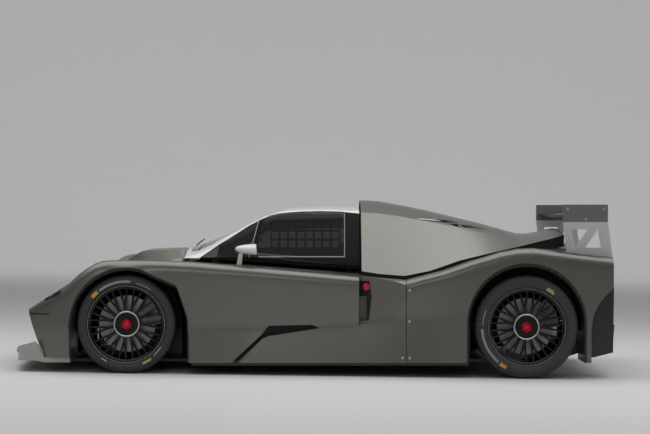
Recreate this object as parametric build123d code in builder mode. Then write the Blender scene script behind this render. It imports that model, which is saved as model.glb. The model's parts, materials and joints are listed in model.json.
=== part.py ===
from build123d import *
import os
from math import cos, radians, sin

# A closed mid-engined GT race car: exposed carbon body over a hollow tub, a one-piece
# canopy that tips forward, a fixed engine cover, a rear wing on two side plates, and four
# centre-lock wheels on wishbones. Millimetres. X runs from nose to tail, Y to the car's
# right, Z up. The origin lies on the ground below the middle of the car.
# The body is drawn level and tipped nose-down by the rake when it is written. Wheels and
# suspension are drawn in the ground frame.

# Length and stance
WHEELBASE = 2430
FRONT_OVERHANG = 740
REAR_OVERHANG = 580
RAKE = 0.78
FRONT_AXLE_X = FRONT_OVERHANG - (FRONT_OVERHANG + WHEELBASE + REAR_OVERHANG) / 2
REAR_AXLE_X = FRONT_AXLE_X + WHEELBASE

# Widths, measured from the centre plane
BODY_HALF = 950
TYRE_FACE_Y = 935
SPLITTER_HALF = 880
TUB_HALF = 480
SILL_BOX = 105
FLANK_INNER_Y = TUB_HALF + SILL_BOX
FOOTWELL_HALF = 330
FLOOR_HALF = 905

# Wheels
FRONT_TYRE_R = 298
FRONT_TYRE_WIDTH = 215
REAR_TYRE_R = 313
REAR_TYRE_WIDTH = 268
TYRE_SHOULDER = 26
RIM_R = 236
RIM_WALL = 7
SPOKE_COUNT = 15
SPOKE_ROOT_WIDTH = 23
SPOKE_TIP_WIDTH = 12
SPOKE_DEPTH = 24
HUB_RING_R = 72
HUB_POCKET_R = 62
NUT_R = 30
DISC_R = 172
DISC_INNER_R = 107
DISC_THICKNESS = 30
HUB_FACE = 30

# Suspension and steering
KINGPIN_INBOARD = 50
BALL_JOINT_REACH = 132
CARRIER_R = 46
ARM_R = 14
PIVOT_SPREAD = 170

# Clearances
SEAT_GAP = 0.3
SEAM_GAP = 0.4
MOVING_GAP = 6
SCREEN_GAP = 14
FRONT_ARCH_GAP = 32
REAR_ARCH_GAP = 36
ARCH_LIP = 26

# Body heights and thicknesses
SILL_Z = 80
FLOOR_THICKNESS = 18
SKIN = 10
CANOPY_WALL = 25
GLASS = 5
GLASS_INSET = 4
TUB_WALL = 40
SPLITTER_Z = 92
SPLITTER_THICKNESS = 16

# The canopy's hinge
HINGE_BEFORE_EDGE = 45
HINGE_Z = 715
HINGE_PIN_R = 8
HINGE_FIT = 0.05
HINGE_Y = 250
HINGE_LUG_WIDTH = 24

TILT_COS = cos(radians(RAKE))
TILT_SIN = sin(radians(RAKE))


def to_level(x, z):
    """A ground-frame point in the level body frame."""
    return (x * TILT_COS + z * TILT_SIN, z * TILT_COS - x * TILT_SIN)


FRONT_HUB = to_level(FRONT_AXLE_X, FRONT_TYRE_R)
REAR_HUB = to_level(REAR_AXLE_X, REAR_TYRE_R)

# Stations of the body along X, in the level frame
NOSE_SEAM_X = FRONT_HUB[0] + 389
CANOPY_FRONT_X = FRONT_HUB[0] + 331
BULKHEAD_X = REAR_HUB[0] - 999
CANOPY_REAR_X = BULKHEAD_X - 10
TRAILING_X = BULKHEAD_X - 19
REAR_SEAM_X = REAR_HUB[0] - 734
TAIL_X = REAR_HUB[0] + 526


def side_prism(points, near, far):
    """A side-view outline pushed across the car from y = near to y = far."""
    with BuildPart() as prism:
        with BuildSketch(Plane.XZ.offset(-near)):
            with BuildLine():
                Polyline(*points, close=True)
            make_face()
        extrude(amount=near - far)
    return prism.part


def plan_prism(points, low, high):
    """A plan-view outline pushed up from z = low to z = high."""
    with BuildPart() as prism:
        with BuildSketch(Plane.XY.offset(low)):
            with BuildLine():
                Polyline(*points, close=True)
            make_face()
        extrude(amount=high - low)
    return prism.part


def block(low, high):
    """A box between two corners."""
    size = [high[i] - low[i] for i in range(3)]
    middle = [(high[i] + low[i]) / 2 for i in range(3)]
    with BuildPart() as box:
        with Locations(tuple(middle)):
            Box(*size)
    return box.part


def height_on(line, x):
    """The height of a side-view line at x, between its two nearest points."""
    for (x0, z0), (x1, z1) in zip(line, line[1:]):
        if x0 <= x <= x1:
            return z0 + (z1 - z0) * (x - x0) / (x1 - x0)
    return line[0][1] if x < line[0][0] else line[-1][1]


def mirrored(part):
    """The same piece on the other side of the car."""
    with BuildPart() as other:
        add(part)
        mirror(about=Plane.XZ, mode=Mode.REPLACE)
    return other.part


def both_sides(part):
    """A piece and its mirror image, as one part of separate solids."""
    with BuildPart() as pair:
        add(part)
        mirror(about=Plane.XZ)
    return pair.part


pieces = {}


def keep(label, part, level=True):
    """Names a finished piece and puts it in the ground frame."""
    piece = part.rotate(Axis.Y, -RAKE) if level else part
    piece.label = label
    pieces[label] = piece


# Flanks
# Each station is a closed outline: inner wall, top, rounded shoulder, side with a waist
# crease, and floor. Columns: x, inner height, half-width, shoulder height, shoulder
# radius, waist half-width, waist height, foot half-width.
def flank_loft(stations, inner_y):
    with BuildPart() as flank:
        for x, inner_z, outer_y, outer_z, radius, waist_y, waist_z, foot_y in stations:
            with BuildSketch(Plane.YZ.offset(x)):
                with BuildLine():
                    FilletPolyline(
                        (inner_y, SILL_Z),
                        (inner_y, inner_z),
                        (outer_y, outer_z),
                        (waist_y, waist_z),
                        (foot_y, SILL_Z),
                        radius=[0, 0, radius, 0, 0],
                        close=True,
                    )
                make_face()
        loft(ruled=True)
    return flank.part


FX = FRONT_HUB[0]
RX = REAR_HUB[0]
FRONT_FLANK = [
    (FX - 640, 378, 786, 383, 48, 792, 250, 786),
    (FX - 480, 478, 884, 480, 55, 888, 290, 880),
    (FX - 347, 545, 928, 566, 60, 932, 290, 926),
    (FX - 290, 585, 938, 622, 60, 942, 290, 936),
    (FX - 237, 612, 943, 662, 60, 947, 290, 941),
    (FX - 190, 632, 946, 692, 60, 949, 290, 943),
    (FX - 145, 645, 948, 707, 60, BODY_HALF, 290, 944),
    (FX - 95, 655, BODY_HALF, 711, 60, 949, 290, 945),
    (FX + 60, 664, BODY_HALF, 711, 60, 947, 290, 946),
    (FX + 224, 674, 949, 705, 60, 940, 290, 943),
    (FX + 389, 680, 946, 695, 60, 930, 290, 940),
    (FX + 750, 661, 936, 661, 56, 908, 290, 934),
    (TRAILING_X, 612, 930, 599, 50, 906, 308, 934),
]
REAR_FLANK = [
    (TRAILING_X, 612, 930, 599, 50, 906, 308, 934),
    (REAR_SEAM_X, 578, 936, 578, 50, 915, 345, 936),
    (RX - 500, 632, 944, 640, 50, 932, 360, 940),
    (RX - 330, 690, 948, 702, 55, 942, 380, 944),
    (RX - 160, 728, BODY_HALF, 757, 60, 948, 400, 946),
    (RX - 60, 750, BODY_HALF, 775, 60, 948, 400, 946),
    (RX + 40, 765, BODY_HALF, 777, 60, 948, 400, 946),
    (RX + 200, 765, 948, 752, 60, 946, 400, 944),
    (TAIL_X, 725, 930, 713, 60, 928, 400, 926),
]


FRONT_ARCH_R = FRONT_TYRE_R + FRONT_ARCH_GAP
REAR_ARCH_R = REAR_TYRE_R + REAR_ARCH_GAP


def front_arch(grow):
    """Wheel opening of the front fender, grown by the lip's width: an arc over the
    tyre, then a straight fall to the rear post."""
    x, z = FRONT_HUB
    r = FRONT_ARCH_R + grow
    foot = -z - 60
    with BuildLine() as outline:
        Line((x - r - 8, foot), (x - r - 8, z - 60))
        ThreePointArc((x - r - 8, z - 60), (x - r * 0.76, z + r * 0.64), (x - 10, z + r - 6))
        ThreePointArc((x - 10, z + r - 6), (x + 75, z + r - 14), (x + 147, z + r - 46))
        FilletPolyline(
            (x + 147, z + r - 46),
            (x + 306, z + r - 112),
            (x + r + 36, z + 30),
            (x + r + 40, z - 90),
            (x + r + 30, foot),
            radius=[40, 120, 200],
        )
        Line((x + r + 30, foot), (x - r - 8, foot))
    return outline.line


def rear_arch(grow):
    """Wheel opening of the rear fender: a half circle on two upright posts."""
    x, z = REAR_HUB
    r = REAR_ARCH_R + grow
    rise = 17
    foot = -z - 60
    with BuildLine() as outline:
        Line((x - r, foot), (x - r, z + rise))
        ThreePointArc((x - r, z + rise), (x, z + rise + r), (x + r, z + rise))
        Line((x + r, z + rise), (x + r, foot))
        Line((x + r, foot), (x - r, foot))
    return outline.line


def arch_cutter(outline, inner_y):
    """Everything inside the opening, from the inner wall out past the skin."""
    with BuildPart() as cutter:
        with BuildSketch(Plane.XZ.offset(-(inner_y - 100))):
            add(outline(0))
            make_face()
        extrude(amount=-(BODY_HALF + 50 - inner_y + 100))
    return cutter.part


def lip_cutter(outline):
    """The bevelled flange round an opening: a loft from the opening to the lip's edge."""
    with BuildPart() as cutter:
        for y, grow in ((BODY_HALF - ARCH_LIP - 6, -0.5), (BODY_HALF + 24, ARCH_LIP + 14)):
            with BuildSketch(Plane.XZ.offset(-y)):
                add(outline(grow))
                make_face()
        loft()
    return cutter.part


FRONT_FACE = [
    (FX - 700, 600),
    (FX - 632, 478),
    (FX - 608, 393),
    (FX - 584, 308),
    (FX - 547, 211),
    (FX - 511, 144),
    (FX - 487, 60),
    (FX - 700, 60),
]
TAIL_CUT = [
    (RX + 600, 713),
    (TAIL_X - 1, 713),
    (TAIL_X - 1, 533),
    (RX + 474, 484),
    (RX + 431, 430),
    (RX + 401, 369),
    (RX + 389, 278),
    (RX + 389, 60),
    (RX + 600, 60),
]
VENT = [
    (FX + 618, 60),
    (FX + 825, 255),
    (FX + 861, 304),
    (FX + 1127, 310),
    (FX + 1176, 288),
    (FX + 861, 240),
    (FX + 828, 226),
    (FX + 664, 60),
]
LAMP = [
    (FX - 508, 459),
    (FX - 520, 560),
    (FX - 350, 640),
    (FX - 336, 543),
]
LAMP_INNER_Y = FLANK_INNER_Y + 55
LAMP_OUTER_Y = 872


RECESS_DEPTH = 60
OUTLET = [
    (TRAILING_X, 310),
    (REAR_SEAM_X - 6, 358),
    (REAR_SEAM_X + 80, 374),
    (REAR_SEAM_X + 80, 760),
    (TRAILING_X, 760),
]
ramp = plan_prism(
    [
        (TRAILING_X, BODY_HALF + 40),
        (TRAILING_X, BODY_HALF - 24 - RECESS_DEPTH),
        (REAR_SEAM_X + 76, BODY_HALF - 8),
        (REAR_SEAM_X + 76, BODY_HALF + 40),
    ],
    250,
    800,
)
with BuildPart() as outlet:
    add(ramp)
    add(side_prism(OUTLET, BODY_HALF - 200, BODY_HALF + 60), mode=Mode.INTERSECT)
intake_low = (TRAILING_X, BODY_HALF - 180, 330)
intake_high = (TRAILING_X + 46, BODY_HALF, 478)

with BuildPart() as front_flank:
    add(flank_loft(FRONT_FLANK, FLANK_INNER_Y))
    add(arch_cutter(front_arch, FLANK_INNER_Y), mode=Mode.SUBTRACT)
    add(lip_cutter(front_arch), mode=Mode.SUBTRACT)
    add(side_prism(FRONT_FACE, FLANK_INNER_Y - 50, BODY_HALF + 50), mode=Mode.SUBTRACT)
    add(side_prism(VENT, BODY_HALF - 80, BODY_HALF + 40), mode=Mode.SUBTRACT)
    splitter_seat = block(
        (FX - 700, FLANK_INNER_Y - 10, 0),
        (FX - 200, BODY_HALF + 50, SPLITTER_Z + SPLITTER_THICKNESS + SEAT_GAP),
    )
    add(splitter_seat, mode=Mode.SUBTRACT)
    add(side_prism(LAMP, LAMP_INNER_Y, LAMP_OUTER_Y), mode=Mode.SUBTRACT)

with BuildPart() as rear_flank:
    add(flank_loft(REAR_FLANK, FLANK_INNER_Y))
    add(arch_cutter(rear_arch, FLANK_INNER_Y), mode=Mode.SUBTRACT)
    add(lip_cutter(rear_arch), mode=Mode.SUBTRACT)
    add(side_prism(TAIL_CUT, FLANK_INNER_Y - 50, BODY_HALF + 50), mode=Mode.SUBTRACT)
    add(outlet.part, mode=Mode.SUBTRACT)
    add(block(intake_low, intake_high), mode=Mode.SUBTRACT)


def slice_of(parts, low_x, high_x):
    """The stretch of some parts between two stations, fused."""
    with BuildPart() as stretch:
        for part in parts:
            add(part)
        add(block((low_x, 0, 0), (high_x, BODY_HALF + 50, 1200)), mode=Mode.INTERSECT)
    return stretch.part


half_seam = SEAM_GAP / 2
front_fender = slice_of([front_flank.part], FX - 800, NOSE_SEAM_X - half_seam)
side_panel = slice_of(
    [front_flank.part, rear_flank.part], NOSE_SEAM_X + half_seam, REAR_SEAM_X - half_seam
)
rear_fender = slice_of([rear_flank.part], REAR_SEAM_X + half_seam, TAIL_X + 50)
for label, part in (
    ("front_fender", front_fender),
    ("side_panel", side_panel),
    ("rear_fender", rear_fender),
):
    keep(label + "_right", part)
    keep(label + "_left", mirrored(part))

# Lamps, flush with the fender's skin
with BuildPart() as headlamp:
    with BuildSketch(Plane.XZ.offset(-(LAMP_INNER_Y + SEAT_GAP))):
        with BuildLine():
            Polyline(*LAMP, close=True)
        make_face()
        offset(amount=-SEAT_GAP, kind=Kind.INTERSECTION)
    extrude(amount=-(LAMP_OUTER_Y - LAMP_INNER_Y - 2 * SEAT_GAP))
    add(flank_loft(FRONT_FLANK, FLANK_INNER_Y), mode=Mode.INTERSECT)
keep("headlamps", both_sides(headlamp.part))


# Nose
# Columns: x, edge height (as the flank's inner edge), crown height.
NOSE = [
    (FX - 720, 326, 350),
    (FX - 617, 392, 420),
    (FX - 480, 478, 505),
    (FX - 347, 545, 578),
    (FX - 237, 612, 644),
    (FX - 145, 645, 674),
    (FX - 95, 655, 684),
    (FX + 60, 664, 692),
    (FX + 224, 674, 700),
    (CANOPY_FRONT_X - SCREEN_GAP, 678, 703),
]
# Columns: x, roof height, roof half-width, foot half-width.
HUMP = [
    (FX - 52, 686, 300, 330),
    (FX + 34, 740, 296, 350),
    (FX + 72, 750, 300, 372),
    (FX + 290, 757, 330, 420),
    (CANOPY_FRONT_X - SCREEN_GAP, 735, 330, 424),
]


def nose_loft(inset):
    """The nose's outer form, or its inner form when inset by the skin."""
    edge = FLANK_INNER_Y - SEAM_GAP - inset
    low = SPLITTER_Z + SPLITTER_THICKNESS + SEAT_GAP - inset
    with BuildPart() as form:
        for x, edge_z, crown_z in NOSE:
            with BuildSketch(Plane.YZ.offset(x)):
                with BuildLine():
                    Polyline((-edge, edge_z - inset), (-edge, low), (edge, low), (edge, edge_z - inset))
                    ThreePointArc(
                        (edge, edge_z - inset), (0, crown_z - inset), (-edge, edge_z - inset)
                    )
                make_face()
        loft(ruled=True)
    with BuildPart() as hump:
        for x, roof_z, roof_y, foot_y in HUMP:
            with BuildSketch(Plane.YZ.offset(x)):
                with BuildLine():
                    Polyline(
                        (-foot_y + inset, 600),
                        (foot_y - inset, 600),
                        (roof_y - inset, roof_z - inset),
                        (-roof_y + inset, roof_z - inset),
                        close=True,
                    )
                make_face()
        loft(ruled=True)
    return form.part + hump.part


def prow(inset):
    """The plan curve of the nose, leaning back towards the floor."""
    with BuildPart() as form:
        for z, edge_x, bow in ((60, FX - 487, 70), (399, FX - 617, 84), (760, FX - 756, 98)):
            with BuildSketch(Plane.XY.offset(z)):
                with BuildLine():
                    edge = FLANK_INNER_Y
                    ThreePointArc(
                        (edge_x + inset, -edge), (edge_x - bow + inset, 0), (edge_x + inset, edge)
                    )
                    Polyline(
                        (edge_x + inset, edge),
                        (FX + 500, edge),
                        (FX + 500, -edge),
                        (edge_x + inset, -edge),
                    )
                make_face()
        loft(ruled=True)
    return form.part


WHEEL_ROOM = [
    (FX - 335, 0),
    (FX - 335, 520),
    (FX - 200, 585),
    (FX + 500, 640),
    (FX + 500, 0),
]
MOUTH_HALF = 430
MOUTH_LOW = 150
MOUTH_HIGH = 300
with BuildPart() as nose_panel:
    add(nose_loft(0))
    add(prow(0), mode=Mode.INTERSECT)
    add(nose_loft(SKIN) & prow(SKIN), mode=Mode.SUBTRACT)
    add(side_prism(WHEEL_ROOM, -700, 700), mode=Mode.SUBTRACT)
    mouth = block((FX - 800, -MOUTH_HALF, MOUTH_LOW), (FX - 470, MOUTH_HALF, MOUTH_HIGH))
    add(mouth, mode=Mode.SUBTRACT)
keep("nose_panel", nose_panel.part)

# Engine cover
# Columns: x, base half-width, base height, shoulder half-width, shoulder height, crest.
COVER = [
    (BULKHEAD_X, 760, 631, 505, 990, 1070),
    (BULKHEAD_X + 113, 757, 613, 492, 984, 1064),
    (BULKHEAD_X + 265, 745, 601, 472, 962, 1037),
    (BULKHEAD_X + 420, 725, 631, 450, 934, 1006),
    (RX - 396, 682, 693, 415, 900, 962),
    (RX - 200, 640, 739, 370, 866, 914),
    (RX - 60, 616, 770, 345, 838, 874),
    (RX + 20, 606, 788, 335, 824, 853),
    (RX + 90, 602, 806, 345, 832, 854),
    (RX + 165, 600, 823, 370, 850, 866),
    (RX + 262, 598, 850, 400, 876, 886),
]


def cover_section(row, inset, drop=0):
    """One cross-section of the engine cover, drawn smaller by the inset."""
    x, base_y, base_z, shoulder_y, shoulder_z, crest_z = row
    with BuildSketch(Plane.YZ.offset(x)) as section:
        with BuildLine():
            Polyline(
                (-shoulder_y + inset, shoulder_z - inset),
                (-base_y + inset, base_z - drop),
                (base_y - inset, base_z - drop),
                (shoulder_y - inset, shoulder_z - inset),
            )
            ThreePointArc(
                (shoulder_y - inset, shoulder_z - inset),
                (0, crest_z - inset),
                (-shoulder_y + inset, shoulder_z - inset),
            )
        make_face()
    return section.sketch


def cover_form(inset, drop):
    with BuildPart() as form:
        loft([cover_section(row, inset, drop) for row in COVER], ruled=True)
    return form.part


with BuildPart() as engine_cover:
    add(cover_form(0, 0))
    add(cover_form(SKIN, 30), mode=Mode.SUBTRACT)
    for low_x, high_x, low_z, high_z in (
        (RX - 646, RX - 378, 949, 928),
        (RX - 434, RX - 147, 912, 884),
    ):
        louvre = [
            (low_x, low_z + 7),
            (high_x, high_z + 7),
            (high_x - 4, high_z - 8),
            (low_x + 30, low_z - 8),
        ]
        add(side_prism(louvre, 300, 800), mode=Mode.SUBTRACT)
        add(side_prism(louvre, -800, -300), mode=Mode.SUBTRACT)
keep("engine_cover", engine_cover.part)

# Seal rails under the cover's edge
rail_top = [(row[0], row[2] - SEAT_GAP) for row in COVER]
rail_low = [(x, z - 70) for x, z in reversed(rail_top)]
rail_plan = [(row[0], row[1] - 7) for row in COVER]
rail_inner = [(row[0], FLANK_INNER_Y - 25) for row in reversed(COVER)]
CANOPY_BASE = [
    (CANOPY_FRONT_X, 703),
    (CANOPY_FRONT_X + 100, 697),
    (CANOPY_FRONT_X + 410, 677),
    (CANOPY_FRONT_X + 720, 653),
    (CANOPY_REAR_X, 628),
]
sill_top = [(x, z - MOVING_GAP - 8) for x, z in CANOPY_BASE]
sill_low = [(x, z - 60) for x, z in reversed(sill_top)]
with BuildPart() as seal_rail:
    add(side_prism(rail_top + rail_low, 500, 800))
    add(plan_prism(rail_plan + rail_inner, 400, 1000), mode=Mode.INTERSECT)
    add(side_prism(sill_top + sill_low, TUB_HALF + SEAT_GAP, FLANK_INNER_Y - SEAT_GAP))
    add(flank_loft(FRONT_FLANK, FLANK_INNER_Y), mode=Mode.SUBTRACT)
    add(flank_loft(REAR_FLANK, FLANK_INNER_Y), mode=Mode.SUBTRACT)
keep("seal_rails", both_sides(seal_rail.part))

# Canopy
# Columns: x, base beyond the tub's side, base height, shoulder beyond the tub's side,
# shoulder height, shoulder radius, crest height.
CX = CANOPY_FRONT_X
CANOPY = [
    (CX, 86, 703, 68, 714, 3, 758),
    (CX + 78, 110, 698, 72, 730, 8, 802),
    (CX + 155, 125, 693, 73, 764, 16, 843),
    (CX + 218, 132, 689, 70, 808, 24, 875),
    (CX + 300, 140, 684, 60, 858, 30, 915),
    (CX + 406, 146, 677, 40, 922, 34, 963),
    (CX + 500, 150, 670, 18, 972, 34, 995),
    (CX + 593, 150, 663, 0, 996, 34, 1013),
    (CX + 719, 150, 653, -18, 1006, 34, 1022),
    (CX + 900, 150, 642, -32, 1008, 34, 1027),
    (CANOPY_REAR_X, 146, 628, -40, 998, 34, 1024),
]


def canopy_form(inset, drop=0):
    """The canopy's outer form, or a smaller one inside it."""
    with BuildPart() as form:
        for x, base_out, base_z, shoulder_out, shoulder_z, radius, crest_z in CANOPY:
            base_y = TUB_HALF + base_out
            shoulder_y = TUB_HALF + shoulder_out
            with BuildSketch(Plane.YZ.offset(x)) as section:
                with BuildLine():
                    Polyline(
                        (-shoulder_y + inset, shoulder_z - inset),
                        (-base_y + inset, base_z - drop),
                        (base_y - inset, base_z - drop),
                        (shoulder_y - inset, shoulder_z - inset),
                    )
                    ThreePointArc(
                        (shoulder_y - inset, shoulder_z - inset),
                        (0, crest_z - inset),
                        (-shoulder_y + inset, shoulder_z - inset),
                    )
                make_face()
                corners = section.vertices().group_by(Axis.Z)[-1]
                fillet(corners, radius=max(radius - inset, 2))
        loft(ruled=True)
    return form.part


BAND = [
    (CX + 95, 708),
    (CX + 155, 749),
    (CX + 218, 793),
    (CX + 280, 830),
    (CX + 343, 871),
    (CX + 406, 912),
    (CX + 468, 946),
    (CX + 531, 974),
    (CX + 593, 987),
    (CX + 719, 996),
    (CX + 844, 999),
    (CX + 969, 996),
    (CANOPY_REAR_X, 984),
]
WINDOW_SILL_Z = 712
WINDOW_REAR_X = CX + 1000
GLASS_FIT = 0.3


def below_band(lower):
    """The side-view region under the roof band, lowered by a fit."""
    line = [(x, z - lower) for x, z in BAND]
    return line + [(CANOPY_REAR_X + 50, line[-1][1]), (CANOPY_REAR_X + 50, 500), (BAND[0][0], 500)]


def window_outline(fit):
    """The side window: straight sill, upright rear edge, top along the roof band."""
    top = [(x, z - fit) for x, z in BAND if CX + 120 < x < WINDOW_REAR_X - 10]
    rear_z = height_on(BAND, WINDOW_REAR_X) - fit
    tip = (CX + 102 + 2 * fit, WINDOW_SILL_Z + fit)
    rear = [(WINDOW_REAR_X - fit, rear_z), (WINDOW_REAR_X - fit, WINDOW_SILL_Z + fit)]
    return [tip] + top + rear


SCREEN_HALF = TUB_HALF - 28


def screen_outline(fit):
    """The windscreen's plan outline between the pillars and the roof."""
    edge = SCREEN_HALF - fit
    front = [(CX + 30 + fit, -SCREEN_HALF + 57), (CX + 62 + fit, -edge)]
    rear = [(CX + 330, -edge), (CX + 470 - fit, -edge + 47)]
    half = front + rear
    return half + [(x, -y) for x, y in reversed(half)]


canopy_outer = canopy_form(0)
canopy_inner = canopy_form(CANOPY_WALL, 60)
window_hole = side_prism(window_outline(0), 300, 800)
screen_hole = plan_prism(screen_outline(0), 600, 1100)
with BuildPart() as canopy_shell:
    add(canopy_outer)
    add(canopy_inner, mode=Mode.SUBTRACT)
with BuildPart() as canopy_frame:
    add(canopy_shell.part)
    add(side_prism(below_band(0), -800, 800), mode=Mode.INTERSECT)
    add(both_sides(window_hole), mode=Mode.SUBTRACT)
with BuildPart() as canopy_roof:
    add(canopy_shell.part)
    add(side_prism(below_band(0), -800, 800), mode=Mode.SUBTRACT)
    add(both_sides(window_hole), mode=Mode.SUBTRACT)
    add(screen_hole, mode=Mode.SUBTRACT)

# Canopy hinges: an arm dips from the pin below the nose's rear edge and rises into the
# screen's lower rail, so that it clears that edge when the canopy tips up.
HINGE_X = CX - HINGE_BEFORE_EDGE
ARM_WIDTH = 16
ARM_LINE = [(0, 0), (34, -48), (66, -30), (66, 35)]
with BuildPart() as hinge_arm:
    with BuildSketch(Plane.XZ.offset(-(HINGE_Y - HINGE_LUG_WIDTH / 2))):
        with BuildLine() as arm_line:
            Polyline(*[(HINGE_X + x, HINGE_Z + z) for x, z in ARM_LINE])
        trace(arm_line.line, line_width=ARM_WIDTH)
        with Locations((HINGE_X, HINGE_Z)):
            Circle(HINGE_PIN_R * 2)
            Circle(HINGE_PIN_R + HINGE_FIT, mode=Mode.SUBTRACT)
    extrude(amount=-HINGE_LUG_WIDTH)
with BuildPart() as roof_with_arms:
    add(canopy_roof.part)
    add(both_sides(hinge_arm.part))
with BuildPart() as glass_shell:
    add(canopy_form(GLASS_INSET))
    add(canopy_form(GLASS_INSET + GLASS, 60), mode=Mode.SUBTRACT)
with BuildPart() as side_glass:
    add(glass_shell.part)
    add(both_sides(side_prism(window_outline(GLASS_FIT), 300, 800)), mode=Mode.INTERSECT)
with BuildPart() as windscreen:
    add(glass_shell.part)
    add(plan_prism(screen_outline(GLASS_FIT), 600, 1100), mode=Mode.INTERSECT)
keep("canopy_frame", canopy_frame.part)
keep("canopy_roof", roof_with_arms.part)
keep("side_glass", side_glass.part)
keep("windscreen", windscreen.part)

# Floor, splitter and diffuser
FLOOR_LOW = SILL_Z - FLOOR_THICKNESS
FLOOR_FRONT_X = FX - 487
DIFFUSER_X = RX + 60
half_floor = [
    (FLOOR_FRONT_X, 560),
    (FX + 395, 560),
    (FX + 395, FLOOR_HALF),
    (RX - REAR_ARCH_R - 3, FLOOR_HALF),
    (RX - REAR_ARCH_R - 3, 600),
    (DIFFUSER_X, 600),
]
full_floor = half_floor + [(x, -y) for x, y in reversed(half_floor)]
keep("flat_floor", plan_prism(full_floor, FLOOR_LOW, SILL_Z - SEAT_GAP))

TIP_X = to_level(-(FRONT_OVERHANG + WHEELBASE + REAR_OVERHANG) / 2, 0)[0] + 1.3
SPLITTER_TOP = SPLITTER_Z + SPLITTER_THICKNESS
FENCE_THICKNESS = 20
splitter_side = [
    (TIP_X - 20, SPLITTER_Z + 6),
    (TIP_X - 20, SPLITTER_TOP),
    (FX - 345, SPLITTER_TOP),
    (FX - 345, SILL_Z),
    (FX - 500, SILL_Z),
    (FX - 560, SPLITTER_Z),
    (TIP_X + 60, SPLITTER_Z),
]
fence_side = [
    (FX - 670, 150),
    (FX - 661, 178),
    (FX - 556, 207),
    (FX - 521, 144),
    (FX - 500, SPLITTER_TOP - 4),
    (FX - 480, SPLITTER_Z),
    (FX - 560, SPLITTER_Z),
    (FX - 639, 117),
]
with BuildPart() as front_splitter:
    with BuildSketch(Plane.XY.offset(SILL_Z - 10)):
        with BuildLine():
            tip = (FX - 655, SPLITTER_HALF)
            ThreePointArc((tip[0], -SPLITTER_HALF), (TIP_X, 0), tip)
            Polyline(tip, (FX - 345, SPLITTER_HALF), (FX - 345, -SPLITTER_HALF), (tip[0], -SPLITTER_HALF))
        make_face()
    extrude(amount=100)
    add(side_prism(splitter_side, -BODY_HALF, BODY_HALF), mode=Mode.INTERSECT)
    add(both_sides(side_prism(fence_side, SPLITTER_HALF - FENCE_THICKNESS, SPLITTER_HALF)))
keep("front_splitter", front_splitter.part)

TAIL_END_X = to_level((FRONT_OVERHANG + WHEELBASE + REAR_OVERHANG) / 2, 290)[0]
DIFFUSER_HALF = 560
DIFFUSER_SKIN = 12
DIFFUSER_END_Z = 278
STRAKE = 6
STRAKES_Y = (140, 280, 420, DIFFUSER_HALF - STRAKE)
ramp_low = [(DIFFUSER_X + SEAT_GAP, FLOOR_LOW), (TAIL_END_X, DIFFUSER_END_Z)]
ramp_side = ramp_low + [(x, z + DIFFUSER_SKIN) for x, z in reversed(ramp_low)]
strake_side = ramp_low + [(TAIL_END_X - 8, DIFFUSER_END_Z - 90), (DIFFUSER_X + 160, FLOOR_LOW + 6)]
with BuildPart() as diffuser:
    add(side_prism(ramp_side, -DIFFUSER_HALF, DIFFUSER_HALF))
    for y in STRAKES_Y:
        add(side_prism(strake_side, y, y + STRAKE))
        add(side_prism(strake_side, -y - STRAKE, -y))
keep("diffuser", diffuser.part)

# Tail
TAIL_HALF = 760
REAR_DECK_X = RX + 264
FASCIA_TOP = (TAIL_X + 6, 716)
FASCIA_LOW = (RX + 550, 530)
deck_side = [
    (REAR_DECK_X, 752),
    FASCIA_TOP,
    FASCIA_LOW,
    (FASCIA_LOW[0] - 14, FASCIA_LOW[1]),
    (FASCIA_TOP[0] - 14, FASCIA_TOP[1] - 13),
    (REAR_DECK_X, 740),
]
bumper_side = [
    (TAIL_X + 1, 531),
    (RX + 550, 531),
    (RX + 544, 131),
    (RX + 420, 100),
    (RX + 391, 110),
    (RX + 391, 278),
    (RX + 403, 368),
    (RX + 433, 429),
    (RX + 476, 483),
]
under_ramp = [
    (RX + 300, 0),
    (RX + 300, 62 + 12.5 + (RX + 300 - DIFFUSER_X) * (DIFFUSER_END_Z - FLOOR_LOW) / (TAIL_END_X - DIFFUSER_X)),
    (TAIL_END_X, DIFFUSER_END_Z + DIFFUSER_SKIN + 0.5),
    (TAIL_END_X, 0),
]
VENT_HALF = 300
with BuildPart() as tail_panel:
    add(side_prism(deck_side, -FLANK_INNER_Y + SEAM_GAP, FLANK_INNER_Y - SEAM_GAP))
    add(side_prism(bumper_side, -TAIL_HALF, TAIL_HALF))
    under = side_prism(under_ramp, -DIFFUSER_HALF - SEAT_GAP, DIFFUSER_HALF + SEAT_GAP)
    add(under, mode=Mode.SUBTRACT)
    vent = block((RX + 300, -VENT_HALF, 390), (RX + 600, VENT_HALF, 480))
    add(vent, mode=Mode.SUBTRACT)
keep("tail_panel", tail_panel.part)


def fascia_x(z):
    """The rear face of the tail at a height."""
    share = (z - FASCIA_LOW[1]) / (FASCIA_TOP[1] - FASCIA_LOW[1])
    return FASCIA_LOW[0] + share * (FASCIA_TOP[0] - FASCIA_LOW[0])


LAMP_Z = (612, 642)
LAMP_DEPTH = 9
tail_lamp_side = [
    (fascia_x(LAMP_Z[0]) + SEAT_GAP, LAMP_Z[0]),
    (fascia_x(LAMP_Z[1]) + SEAT_GAP, LAMP_Z[1]),
    (fascia_x(LAMP_Z[1]) + LAMP_DEPTH, LAMP_Z[1] - 3),
    (fascia_x(LAMP_Z[0]) + LAMP_DEPTH, LAMP_Z[0] + 3),
]
keep("tail_lamps", both_sides(side_prism(tail_lamp_side, 330, 560)))

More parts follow.
